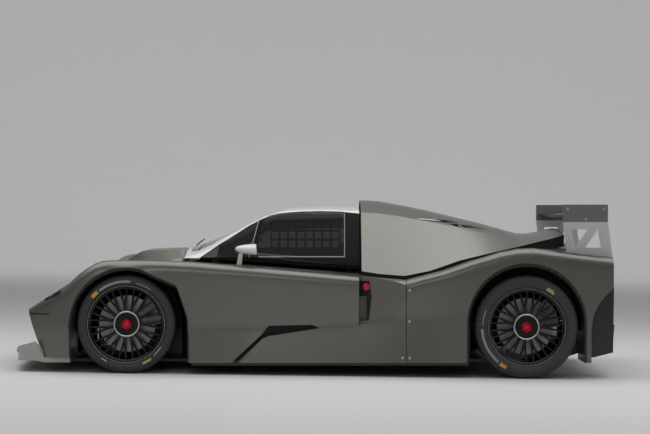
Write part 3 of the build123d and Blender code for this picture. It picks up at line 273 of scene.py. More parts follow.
@dataclass(frozen=True)
class Turned(Finish):
    """Metal or rubber with marks that run round a wheel's centre."""

    centre: tuple[float, float] = (0.0, 0.0)
    pitch_mm: float = 2.0
    depth_mm: float = 0.03
    shade: str = "404040"
    share: float = 0.35

    def dress(self, tree: bpy.types.NodeTree, shader: bpy.types.Node) -> None:
        """Rings by the distance from the centre, uneven round the wheel."""
        place = add_node(tree, PLACE).outputs["Object"]
        split = add_node(tree, SPLIT, None, {0: place}).outputs
        x = add_node(tree, MATH, SUBTRACT, {0: split[0], 1: self.centre[0]}).outputs[0]
        z = add_node(tree, MATH, SUBTRACT, {0: split[2], 1: self.centre[1]}).outputs[0]
        x_squared = add_node(tree, MATH, MULTIPLY, {0: x, 1: x}).outputs[0]
        z_squared = add_node(tree, MATH, MULTIPLY, {0: z, 1: z}).outputs[0]
        squares = add_node(tree, MATH, ADD, {0: x_squared, 1: z_squared}).outputs[0]
        radius = add_node(tree, MATH, SQUARE_ROOT, {0: squares}).outputs[0]
        per_metre = 2 * math.pi / (self.pitch_mm * MM)
        turns = add_node(tree, MATH, MULTIPLY, {0: radius, 1: per_metre}).outputs[0]
        wave = add_node(tree, MATH, SINE, {0: turns}).outputs[0]
        ring = add_node(tree, MATH, MULTIPLY_ADD, {0: wave, 1: 0.5, 2: 0.5}).outputs[0]
        patches = add_node(tree, NOISE, None, {"Vector": place, "Scale": 1 / (25 * MM), "Detail": 4})
        uneven = add_node(tree, MATH, MULTIPLY, {0: ring, 1: patches.outputs[0]}).outputs[0]
        share = add_node(tree, MATH, MULTIPLY, {0: uneven, 1: self.share}).outputs[0]
        shades = {0: share, 6: linear(self.colour), 7: linear(self.shade)}
        tree.links.new(add_node(tree, MIX, COLOURS, shades).outputs[2], shader.inputs["Base Color"])
        relief = {"Strength": 1.0, "Distance": self.depth_mm * MM, "Height": ring}
        tree.links.new(add_node(tree, BUMP, None, relief).outputs[0], shader.inputs["Normal"])


@dataclass(frozen=True)
class TyrePaint(Finish):
    """Stencilled tyre paint, worn thin here and there."""

    def dress(self, tree: bpy.types.NodeTree, shader: bpy.types.Node) -> None:
        """Lets the rubber show through in small worn spots."""
        place = add_node(tree, PLACE).outputs["Object"]
        spots = add_node(tree, NOISE, None, {"Vector": place, "Scale": 1 / (6 * MM), "Detail": 4})
        worn = add_node(tree, MATH, MULTIPLY, {0: spots.outputs[0], 1: 0.45}).outputs[0]
        shades = {0: worn, 6: linear(self.colour), 7: linear("3a3a3b")}
        tree.links.new(add_node(tree, MIX, COLOURS, shades).outputs[2], shader.inputs["Base Color"])


@dataclass(frozen=True)
class Clear(Finish):
    """Glass or clear acrylic, tinted through its thickness."""

    transmission: float = 1.0

    def dress(self, tree: bpy.types.NodeTree, shader: bpy.types.Node) -> None:
        """Lets light through, with faint wipe marks in the gloss."""
        shader.inputs["Transmission Weight"].default_value = self.transmission
        place = add_node(tree, PLACE).outputs["Object"]
        marks = add_node(tree, NOISE, None, {"Vector": place, "Scale": 1 / (90 * MM), "Detail": 3.0})
        span = {0: marks.outputs[0], 1: 0.04, 2: self.roughness}
        rough = add_node(tree, MATH, MULTIPLY_ADD, span).outputs[0]
        tree.links.new(rough, shader.inputs["Roughness"])


@dataclass(frozen=True)
class Webbing(Finish):
    """Plain woven tape or cloth, drawn on its two directions across the view from the side."""

    thread_mm: float = 2.2
    shade: str = "0c0c0d"

    def dress(self, tree: bpy.types.NodeTree, shader: bpy.types.Node) -> None:
        """Crossing threads in colour and bump."""
        place = add_node(tree, PLACE).outputs["Object"]
        split = add_node(tree, SPLIT, None, {0: place}).outputs
        turn = math.pi / (self.thread_mm * MM)
        along = add_node(tree, MATH, MULTIPLY, {0: split[0], 1: turn}).outputs[0]
        first = add_node(tree, MATH, SINE, {0: along}).outputs[0]
        rise = add_node(tree, MATH, ADD, {0: split[2], 1: split[1]}).outputs[0]
        across = add_node(tree, MATH, MULTIPLY, {0: rise, 1: turn}).outputs[0]
        second = add_node(tree, MATH, SINE, {0: across}).outputs[0]
        crossing = add_node(tree, MATH, MULTIPLY, {0: first, 1: second}).outputs[0]
        weave = add_node(tree, MATH, MULTIPLY_ADD, {0: crossing, 1: 0.5, 2: 0.5}).outputs[0]
        shades = {0: weave, 6: linear(self.shade), 7: linear(self.colour)}
        tree.links.new(add_node(tree, MIX, COLOURS, shades).outputs[2], shader.inputs["Base Color"])
        relief = {"Strength": 1.0, "Distance": 0.4 * MM, "Height": weave}
        tree.links.new(add_node(tree, BUMP, None, relief).outputs[0], shader.inputs["Normal"])
        shader.inputs["Sheen Weight"].default_value = 0.3


# Carbon laminate, laid up in 12K twill and rubbed to a satin clear coat. It mirrors a bright
# ceiling softly and goes dark where it faces the room.
BODY_CARBON = CarbonTwill(
    "satin_carbon_body", "74726c", 0.33, metallic=0.78, coat=0.2, coat_roughness=0.2, shade="706e68"
)
# The rear fenders are laid up in the same cloth with less resin over it, so it shows more.
FENDER_CARBON = CarbonTwill(
    "open_weave_carbon_fender", "7a7872", 0.33, metallic=0.78, coat=0.2, coat_roughness=0.2, shade="66645f"
)
# The splitter is flat-sanded and lacquered, which makes it paler.
SPLITTER_CARBON = CarbonTwill(
    "sanded_carbon_splitter", "b4b2ac", 0.45, metallic=0.45, coat=0.2, coat_roughness=0.3, shade="a5a39e"
)
# The cover's laminate, the same cloth rubbed a little flatter, which spreads its highlights. Its colour is
# paler than the flanks' as painted light: it stands in for the bright ceiling on the cover.
DECK_CARBON = CarbonTwill(
    "satin_carbon_deck", "84827d", 0.38, metallic=0.72, coat=0.15, coat_roughness=0.25, shade="807e79"
)
# Tail and floor laminate, the same cloth in a darker resin.
DARK_CARBON = CarbonTwill(
    "dark_carbon", "3a3a3c", 0.42, metallic=0.3, coat=0.3, coat_roughness=0.2, shade="1d1d1f"
)
# Near-white gloss paint on the canopy roof, the pillar feet and the mirrors: a painted reflection of the
# bright ceiling, with a hard bright gloss.
PAINTED_REFLECTION_WHITE = Finish("pearl_enamel", "e9e9e7", 0.3, coat=0.8, coat_roughness=0.04)
# Glossy black two-pack enamel on composite.
BLACK_ENAMEL = Finish("black_enamel", "08080a", 0.2, ior=1.4)
# Moulded black composite with a matt, fine-grained face.
BLACK_COMPOSITE = Grained(
    "black_composite", "0e0e0f", 0.6, ior=1.4, grain_mm=2.0, depth_mm=0.06, shade="1a1a1b"
)
# Polycarbonate glazing with a smoke tint: dark from outside, glossy, and just clear enough
# to show the net behind it.
SMOKED_GLAZING = Clear("smoked_polycarbonate", "8a8b8e", 0.02, ior=1.45)
# Smoked acrylic over the lamps.
SMOKED_ACRYLIC = Clear("smoked_acrylic", "55565a", 0.04, ior=1.49)
# Red acrylic of the rear lamps.
RED_ACRYLIC = Clear("red_acrylic", "b01018", 0.12, ior=1.49, transmission=0.5)
# Gloss black powder coat on forged rims.
RIM_COAT = Finish("rim_powder_coat", "0a0a0b", 0.24, ior=1.38)
# Natural anodised aluminium, machined.
ANODISED = Finish("natural_anodised_aluminium", "b9babc", 0.32, metallic=1.0)
# Red anodised aluminium of the wheel nuts.
RED_ANODISED = Finish("red_anodised_aluminium", "b8102c", 0.3, metallic=0.85, coat=0.2)
# Aluminium plate, bead blasted and lacquered light grey.
GREY_PLATE = Grained("grey_lacquered_plate", "c2c2c4", 0.5, grain_mm=1.2, depth_mm=0.02, shade="b2b2b4")
DARK_PLATE = Grained("dark_lacquered_plate", "6a6b6d", 0.5, grain_mm=1.2, depth_mm=0.02, shade="5f6062")
# Powder-coated steel tube of the cage, slightly orange-peeled.
CAGE_COAT = Grained("cage_powder_coat", "6f7073", 0.45, grain_mm=3.0, depth_mm=0.05, shade="5c5d60")
# Sand-cast aluminium of the engine and gearbox.
CASTING = Grained(
    "sand_cast_aluminium", "8b8c8d", 0.6, metallic=0.8, grain_mm=1.6, depth_mm=0.25, shade="5f6061"
)
# Black nylon webbing of the net and the belts.
NYLON = Webbing("black_nylon_webbing", "1d1d1f", 0.8)
BELT = Webbing("red_polyester_belt", "8c1420", 0.75, shade="6a0f18")
# Flocked black cloth of the seat pads.
SEAT_CLOTH = Webbing("black_seat_cloth", "2a2a2c", 0.9, thread_mm=3.0, shade="161617")
# Extruded rubber of the seals. On the seal rails its black also stands in for the shade in the gap under the
# canopy and the engine cover: painted shade.
SEAL_RUBBER = Grained("seal_rubber", "0d0d0e", 0.7, grain_mm=2.5, depth_mm=0.05, shade="171718")
# Brushed suede of the steering wheel's grips: dull, with no highlight.
SUEDE = Grained("black_suede", "1a1a1b", 0.95, grain_mm=1.0, depth_mm=0.15, shade="242425")
# Moulded red nylon of the cut-off knob and the nut's locking pin, slightly glossy.
RED_KNOB = Finish("red_moulded_nylon", "c01028", 0.35, coat=0.3)
# Glass of the dashboard's display, switched off: black and mirror-smooth.
SCREEN = Finish("display_glass", "0a0d12", 0.08, coat=0.5)
# Clear polished glass over a bright reflector: reads as a pale, glossy lens.
LAMP_GLASS = Finish("lamp_reflector_glass", "d9dde2", 0.12, metallic=0.6, coat=0.8)
# Silvered glass of the mirrors.
MIRROR_GLASS = Finish("silvered_mirror_glass", "c9ced3", 0.04, metallic=1.0)
# Pale bands along the side windows' edges and the divider: painted highlights of those edges.
WINDOW_EDGE_HIGHLIGHT = Finish("printed_window_edge", "a9a9aa", 0.5)
# Stainless tube that heat has tinted straw and blue.
EXHAUST_STEEL = Turned("blued_stainless", "7d7468", 0.35, metallic=1.0, pitch_mm=6, shade="4b5570")


def clear_selection() -> None:
    """Leaves edit mode and deselects everything."""
    if bpy.context.mode != "OBJECT":
        bpy.ops.object.mode_set(mode="OBJECT")
    bpy.ops.object.select_all(action="DESELECT")


def make_active(piece: bpy.types.Object) -> None:
    """Selects one piece alone and makes it active."""
    clear_selection()
    piece.select_set(True)
    bpy.context.view_layer.objects.active = piece


def select_faces(piece: bpy.types.Object, wanted: Any) -> None:
    """Enters edit mode with some faces selected.

    Args:
        piece: a mesh object.
        wanted: a test on a face's centre and normal.
    """
    make_active(piece)
    bpy.ops.object.mode_set(mode="EDIT")
    bpy.ops.mesh.select_mode(type="FACE")
    bpy.ops.mesh.select_all(action="DESELECT")
    bpy.ops.object.mode_set(mode="OBJECT")
    for face in piece.data.polygons:
        face.select = bool(wanted(face.center, face.normal))
    bpy.ops.object.mode_set(mode="EDIT")


def apply_place(piece: bpy.types.Object) -> None:
    """Puts a piece's place into its mesh, so that its object sits at the origin."""
    make_active(piece)
    bpy.ops.object.transform_apply(location=True, rotation=True, scale=True)


def apply_modifier(piece: bpy.types.Object, kind: str, **settings: Any) -> None:
    """Adds a modifier with its settings and applies it."""
    make_active(piece)
    modifier = piece.modifiers.new(kind.lower(), kind)
    for name, value in settings.items():
        setattr(modifier, name, value)
    bpy.ops.object.modifier_apply(modifier=modifier.name)


def soften(piece: bpy.types.Object, width_mm: float, segments: int = 2, angle: float = 35.0) -> None:
    """Bevels a piece's sharp edges."""
    apply_modifier(
        piece,
        "BEVEL",
        width=width_mm * MM,
        segments=segments,
        limit_method="ANGLE",
        angle_limit=math.radians(angle),
    )


def smooth(piece: bpy.types.Object, angle: float = 35.0) -> None:
    """Shades a piece smooth except across its sharp edges."""
    make_active(piece)
    bpy.ops.object.shade_smooth_by_angle(angle=math.radians(angle))


def tipped(point: Point) -> Vector:
    """A level point in millimetres as a row point in metres."""
    return Matrix.Rotation(-RAKE, 3, "Y") @ (Vector(point) * MM)


def grid_cut(piece: bpy.types.Object, pitch_mm: float) -> None:
    """Cuts a skin on evenly spaced planes, so that smooth shading bends only near its creases.

    Args:
        piece: the skin.
        pitch_mm: the distance between the planes along each axis.
    """
    make_active(piece)
    spans = [(min(values), max(values)) for values in zip(*(vertex.co for vertex in piece.data.vertices))]
    bpy.ops.object.mode_set(mode="EDIT")
    for axis, (low, high) in enumerate(spans):
        cuts = int((high - low) / (pitch_mm * MM))
        normal = [1.0 if i == axis else 0.0 for i in range(3)]
        for step in range(1, cuts + 1):
            place = [n * (low + (high - low) * step / (cuts + 1)) for n in normal]
            bpy.ops.mesh.select_all(action="SELECT")
            bpy.ops.mesh.bisect(plane_co=place, plane_no=normal)
    bpy.ops.object.mode_set(mode="OBJECT")


def even_shading(piece: bpy.types.Object, reach_mm: float, crease: float) -> None:
    """Gives a skin's corners the mean normal of the faces around them, by area.

    A loft's facets hold slivers whose own normals are several degrees off, and plain smooth
    shading shows each of them as a blotch. Faces across a crease are left out of the mean.

    Args:
        piece: the finished skin.
        reach_mm: how far around a corner faces count.
        crease: the angle past which two faces don't blend.
    """
    make_active(piece)
    bpy.ops.object.shade_smooth()
    mesh = piece.data
    count = len(mesh.polygons)
    areas = numpy.empty(count)
    normals = numpy.empty(count * 3)
    mesh.polygons.foreach_get("area", areas)
    mesh.polygons.foreach_get("normal", normals)
    normals = normals.reshape(-1, 3)
    tree = KDTree(count)
    around: list[list[tuple[int, int]]] = [[] for _ in mesh.vertices]
    for face in mesh.polygons:
        tree.insert(face.center, face.index)
        for loop in face.loop_indices:
            around[mesh.loops[loop].vertex_index].append((loop, face.index))
    tree.balance()
    reach = reach_mm * MM
    blends = math.cos(math.radians(crease))
    corners = numpy.zeros((len(mesh.loops), 3))
    for vertex, touching in zip(mesh.vertices, around):
        found = tree.find_range(vertex.co, reach)
        own = [face for _, face in touching]
        near = numpy.array([hit[1] for hit in found] + own)
        fade = numpy.array([1 - (hit[2] / reach) ** 2 for hit in found] + [1.0] * len(own))
        facing, weight = normals[near], areas[near] * fade + 1e-12
        mean = (normals[own] * areas[own][:, None]).sum(axis=0)
        mean /= max(float(numpy.linalg.norm(mean)), 1e-12)
        together = bool((normals[own] @ mean).min() > math.cos(math.radians(crease * 0.6)))
        for loop, face in touching:
            guide = mean if together else normals[face]
            kept = facing @ guide > blends
            total = (facing[kept] * weight[kept][:, None]).sum(axis=0)
            length = float(numpy.linalg.norm(total))
            corners[loop] = total / length if length > 0 else guide
            if together:
                for other, _ in touching:
                    corners[other] = corners[loop]
                break
    mesh.normals_split_custom_set(corners.tolist())
    clear_selection()


def twins(piece: bpy.types.Object, places: Sequence[Matrix]) -> bpy.types.Object:
    """Copies of a piece at other places, each with its own mesh, joined with it.

    Args:
        piece: the piece modelled once.
        places: where the copies go, as moves of the piece's mesh.

    Returns:
        The joined set; the piece itself stays in it unmoved.
    """
    parts = [piece]
    for place in places:
        twin = piece.copy()
        twin.data = piece.data.copy()
        bpy.context.scene.collection.objects.link(twin)
        twin.data.transform(place)
        parts.append(twin)
    return joined(parts)


def tip_with_body(piece: bpy.types.Object) -> None:
    """Turns a level piece about the car's origin by the rake."""
    piece.data.transform(Matrix.Rotation(-RAKE, 4, "Y"))
    piece.data.update()


def settle(
    piece: bpy.types.Object,
    name: str,
    finish: Finish,
    body: str,
    level: bool = True,
    angle: float = 35.0,
) -> bpy.types.Object:
    """Finishes a piece: place, rake, name, shading, finish and the body it rides on.

    Args:
        piece: the modelled mesh.
        name: its name in the visual table.
        finish: what its surface is.
        body: the CAD body it moves with.
        level: whether it was placed in the level frame of the body.
        angle: the edge angle up to which it is shaded smooth.

    Returns:
        The same piece.
    """
    apply_place(piece)
    if level:
        tip_with_body(piece)
    piece.name = name
    piece.data.name = name
    piece.data.materials.clear()
    piece.data.materials.append(finish.material())
    smooth(piece, angle)
    clear_selection()
    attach(piece, body)
    LOG.info("%s: %d faces on %s", name, len(piece.data.polygons), body)
    return piece


def plate(outline: Sequence[tuple[float, float]], near: float, far: float) -> bpy.types.Object:
    """A flat plate with a side-view outline, all in level millimetres.

    Args:
        outline: (x, z) points.
        near: the Y of its first face.
        far: the Y of its other face.

    Returns:
        The plate, with its faces outwards.
    """
    clear_selection()
    bpy.ops.mesh.primitive_circle_add(vertices=len(outline), radius=1, fill_type="NGON")
    piece = bpy.context.object
    for vertex, (x, z) in zip(piece.data.vertices, outline):
        vertex.co = (x * MM, near * MM, z * MM)
    make_active(piece)
    bpy.ops.object.mode_set(mode="EDIT")
    bpy.ops.mesh.select_all(action="SELECT")
    shift = (0, (far - near) * MM, 0)
    bpy.ops.mesh.extrude_region_move(TRANSFORM_OT_translate={"value": shift})
    bpy.ops.mesh.select_all(action="SELECT")
    bpy.ops.mesh.normals_make_consistent(inside=False)
    bpy.ops.object.mode_set(mode="OBJECT")
    return piece


def cube(low: Point, high: Point) -> bpy.types.Object:
    """A box between two corners in millimetres, for shaping further."""
    clear_selection()
    middle = [(a + b) / 2 * MM for a, b in zip(low, high)]
    size = [(b - a) * MM for a, b in zip(low, high)]
    bpy.ops.mesh.primitive_cube_add(size=1, location=middle, scale=size)
    piece = bpy.context.object
    apply_place(piece)
    return piece


def rod(middle: Point, radius: float, length: float, facing: Point, sides: int = 32) -> bpy.types.Object:
    """A round bar in millimetres about its middle, its axis along facing."""
    clear_selection()
    turn = Vector(facing).to_track_quat("Z", "Y").to_euler()
    bpy.ops.mesh.primitive_cylinder_add(
        vertices=sides,
        radius=radius * MM,
        depth=length * MM,
        location=[v * MM for v in middle],
        rotation=turn,
    )
    piece = bpy.context.object
    apply_place(piece)
    return piece


def ring_of(
    profile: Sequence[tuple[float, float]], steps: int = 96, sweep: float = 360.0
) -> bpy.types.Object:
    """A ring spun round Z from a closed (radius, height) profile in millimetres.

    Args:
        profile: the half section's corners.
        steps: faces round the ring.
        sweep: degrees turned; under 360 the ends are capped.

    Returns:
        The ring, centred on the origin.
    """
    clear_selection()
    bpy.ops.mesh.primitive_circle_add(vertices=len(profile), radius=1, fill_type="NGON")
    piece = bpy.context.object
    for vertex, (radius, height) in zip(piece.data.vertices, profile):
        vertex.co = (radius * MM, 0, height * MM)
    make_active(piece)
    bpy.ops.object.mode_set(mode="EDIT")
    bpy.ops.mesh.select_all(action="SELECT")
    closed = sweep >= 360
    if closed:
        bpy.ops.mesh.delete(type="ONLY_FACE")
        bpy.ops.mesh.select_all(action="SELECT")
    bpy.ops.mesh.spin(
        steps=steps, angle=math.radians(sweep), center=(0, 0, 0), axis=(0, 0, 1), use_auto_merge=closed
    )
    bpy.ops.mesh.select_all(action="SELECT")
    bpy.ops.mesh.remove_doubles(threshold=1e-6)
    bpy.ops.mesh.normals_make_consistent(inside=False)
    bpy.ops.object.mode_set(mode="OBJECT")
    return piece


def joined(parts: Sequence[bpy.types.Object]) -> bpy.types.Object:
    """Several meshes as one piece."""
    clear_selection()
    for part in parts:
        part.select_set(True)
    bpy.context.view_layer.objects.active = parts[0]
    bpy.ops.object.join()
    return bpy.context.object


@dataclass
class Frame:
    """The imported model: its nodes and the bodies they belong to."""

    nodes: dict[str, bpy.types.Object]
    body_of: dict[str, str]

    @classmethod
    def of(cls, loaded: Mapping[str, Any]) -> "Frame":
        """Returns:
            The frame, with every node under its name.
        """
        groups = loaded["record"]["behaviour"]["bodies"]
        body_of = {node: body for body, members in groups.items() for node in members}
        return cls(loaded["nodes"], body_of)

    def copy_of(self, node: str) -> bpy.types.Object:
        """A merged copy of a node's mesh, free of the frame.

        Args:
            node: the CAD node.

        Returns:
            A new object with its own mesh.
        """
        clear_selection()
        piece = bpy.data.objects.new(node + "_copy", self.nodes[node].data.copy())
        bpy.context.scene.collection.objects.link(piece)
        make_active(piece)
        bpy.ops.object.mode_set(mode="EDIT")
        bpy.ops.mesh.select_all(action="SELECT")
        bpy.ops.mesh.remove_doubles(threshold=2e-5)
        bpy.ops.object.mode_set(mode="OBJECT")
        return piece

    def touch(self, node: str, start: Point, heading: Point) -> tuple[Vector, Vector]:
        """Where a straight line first meets a node.

        Args:
            node: the CAD node.
            start: a level point in millimetres.
            heading: a level direction.

        Returns:
            The point and the outward normal there, in the row frame.
        """
        mesh = self.nodes[node].data
        corners = [vertex.co for vertex in mesh.vertices]
        tree = BVHTree.FromPolygons(corners, [tuple(face.vertices) for face in mesh.polygons])
        way = Matrix.Rotation(-RAKE, 3, "Y") @ Vector(heading)
        place, normal, _, _ = tree.ray_cast(tipped(start), way)
        if place is None:
            raise ValueError(f"nothing of {node} lies ahead of {start}")
        return place, normal if normal.dot(way) < 0 else -normal

    def strip_of(
        self, node: str, planes: Sequence[tuple[Point, Point]], wanted: Any, lift_mm: float
    ) -> bpy.types.Object:
        """A thin strip that follows a node's skin between planes.

        Args:
            node: the CAD node whose skin is followed.
            planes: (point, normal) pairs in level millimetres; what lies ahead of each normal goes.
            wanted: a test on a face's centre and normal that keeps the skin's outer faces.
            lift_mm: how far the strip stands off the skin.

        Returns:
            The strip, in the row frame.
        """
        piece = self.copy_of(node)
        tilt = Matrix.Rotation(-RAKE, 3, "Y")
        make_active(piece)
        bpy.ops.object.mode_set(mode="EDIT")
        for point, normal in planes:
            bpy.ops.mesh.select_all(action="SELECT")
            bpy.ops.mesh.bisect(
                plane_co=tilt @ (Vector(point) * MM),
                plane_no=tilt @ Vector(normal),
                clear_outer=True,
                clear_inner=False,
            )
        bpy.ops.object.mode_set(mode="OBJECT")
        select_faces(piece, lambda centre, normal: not wanted(centre, normal))
        bpy.ops.mesh.delete(type="FACE")
        bpy.ops.object.mode_set(mode="OBJECT")
        for vertex in piece.data.vertices:
            vertex.co += vertex.normal * lift_mm * MM
        apply_modifier(piece, "SOLIDIFY", thickness=(lift_mm + 0.1) * MM, offset=-1)
        return piece


@dataclass
class Bodywork:
    """Every CAD node's finish, on rounded copies of the skins that would show facets."""

    frame: Frame
    smooth_angle: float = 24.0
    cut_pitch: float = 45.0
    shading_reach: float = 50.0
    crease_margin: float = 6.0
    screen_front_x: float = -805.0
    screen_rear_x: float = -180.0
    screen_half: float = 530.0
    screen_drop: float = 34.0

    def finishes(self) -> dict[str, Finish]:
        """The finish of each fixed node.

        Returns:
            Node name to finish, without the wheels.
        """
        flanks = [f"{part}_{side.word}" for part in ("front_fender", "side_panel") for side in Side]
        groups: list[tuple[Finish, Sequence[str]]] = [
            (BODY_CARBON, [*flanks, "nose_panel"]),
            (FENDER_CARBON, [f"rear_fender_{side.word}" for side in Side]),
            (SPLITTER_CARBON, ["front_splitter"]),
            (DECK_CARBON, ["engine_cover"]),
            (DARK_CARBON, ["tail_panel", "diffuser", "flat_floor", "rear_wing", "tub"]),
            # The roof band and pillar feet are white as a painted reflection of the bright ceiling.
            (PAINTED_REFLECTION_WHITE, ["canopy_roof", "pillar_feet"]),
            (BLACK_ENAMEL, ["canopy_frame"]),
            (BLACK_COMPOSITE, ["dashboard", "rear_bulkhead", "front_grille"]),
            # The seal rails' black also paints the shade in the gap under the canopy and the cover.
            (SEAL_RUBBER, ["seal_rails"]),
            (SMOKED_GLAZING, ["side_glass", "windscreen"]),
            (RED_ACRYLIC, ["tail_lamps"]),
            (GREY_PLATE, ["wing_stands"]),
            (DARK_PLATE, ["wing_endplates"]),
            (CAGE_COAT, ["roll_cage"]),
            (ANODISED, ["canopy_hinges", "front_wishbones", "rear_wishbones"]),
            (CASTING, ["engine_block"]),
            (NYLON, ["window_net"]),
            (SEAT_CLOTH, ["driver_seat"]),
            (SUEDE, ["steering_wheel"]),
        ]
        return {node: finish for finish, nodes in groups for node in nodes}

    def curved(self) -> set[str]:
        """The nodes whose skins are lofted between sections."""
        parts = ("front_fender", "side_panel", "rear_fender")
        flanks = {f"{part}_{side.word}" for part in parts for side in Side}
        canopy = {"canopy_roof", "canopy_frame", "side_glass", "windscreen"}
        return flanks | canopy | {"nose_panel", "engine_cover"}

    def dress(self) -> None:
        """Gives each fixed node its finish, on a smooth copy."""
        curved = self.curved()
        for node, finish in self.finishes().items():
            self.skin(node, finish, self.cut_pitch if node in curved else 0)

    def flatten_screen(self, piece: bpy.types.Object) -> None:
        """Lowers the dome of the screen a little, so that the pillars make the outline."""
        front, rear = self.screen_front_x * MM, self.screen_rear_x * MM
        for vertex in piece.data.vertices:
            share = (vertex.co.x - front) / (rear - front)
            if 0 < share < 1:
                across = max(0.0, 1 - (vertex.co.y / (self.screen_half * MM)) ** 2)
                along = math.sin(math.pi * share) ** 0.8
                vertex.co.z -= self.screen_drop * MM * across * along
        piece.data.update()

    def skin(self, node: str, finish: Finish, pitch: float = 0) -> None:
        """Replaces a node with a merged copy that is shaded smooth.

        Args:
            node: the CAD node.
            finish: what its surface is.
            pitch: the distance between its cuts, or 0 for none.
        """
        piece = self.frame.copy_of(node)
        if pitch:
            grid_cut(piece, pitch)
        if node in ("canopy_roof", "windscreen"):
            self.flatten_screen(piece)
        body = self.frame.body_of[node]
        settle(piece, node + "_skin", finish, body, level=False, angle=self.smooth_angle)
        if pitch:
            even_shading(piece, self.shading_reach, self.smooth_angle + self.crease_margin)
        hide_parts(node)


@dataclass(frozen=True)
class Mark:
    """A plain painted arc on a tyre's sidewall, by angle from the tail side upwards."""

    label: str
    colour: str
    inner: float
    outer: float
    start: float
    sweep: float


FRONT_MARKS = (
    Mark("yellow_block", "e3ae22", 250, 272, 132, 10),
    Mark("pale_band", "9fa3ab", 253, 266, 85, 44),
    Mark("thin_line", "c8c49a", 256, 259, 55, 22),
    Mark("lime_block", "c6cc38", 252, 264, 294, 13),
    Mark("pale_dash", "cfd1d4", 250, 254, 313, 15),
    Mark("short_dash", "cfd1d4", 250, 254, 235, 8),
)
REAR_MARKS = (
    Mark("yellow_block", "e3ae22", 264, 285, 234, 9),
    Mark("pale_band", "9fa3ab", 266, 279, 183, 48),
    Mark("thin_line", "c8c49a", 268, 271, 158, 20),
    Mark("gold_block", "d0b040", 252, 264, 52, 12),
    Mark("pale_dash", "cfd1d4", 267, 271, 54, 9),
)


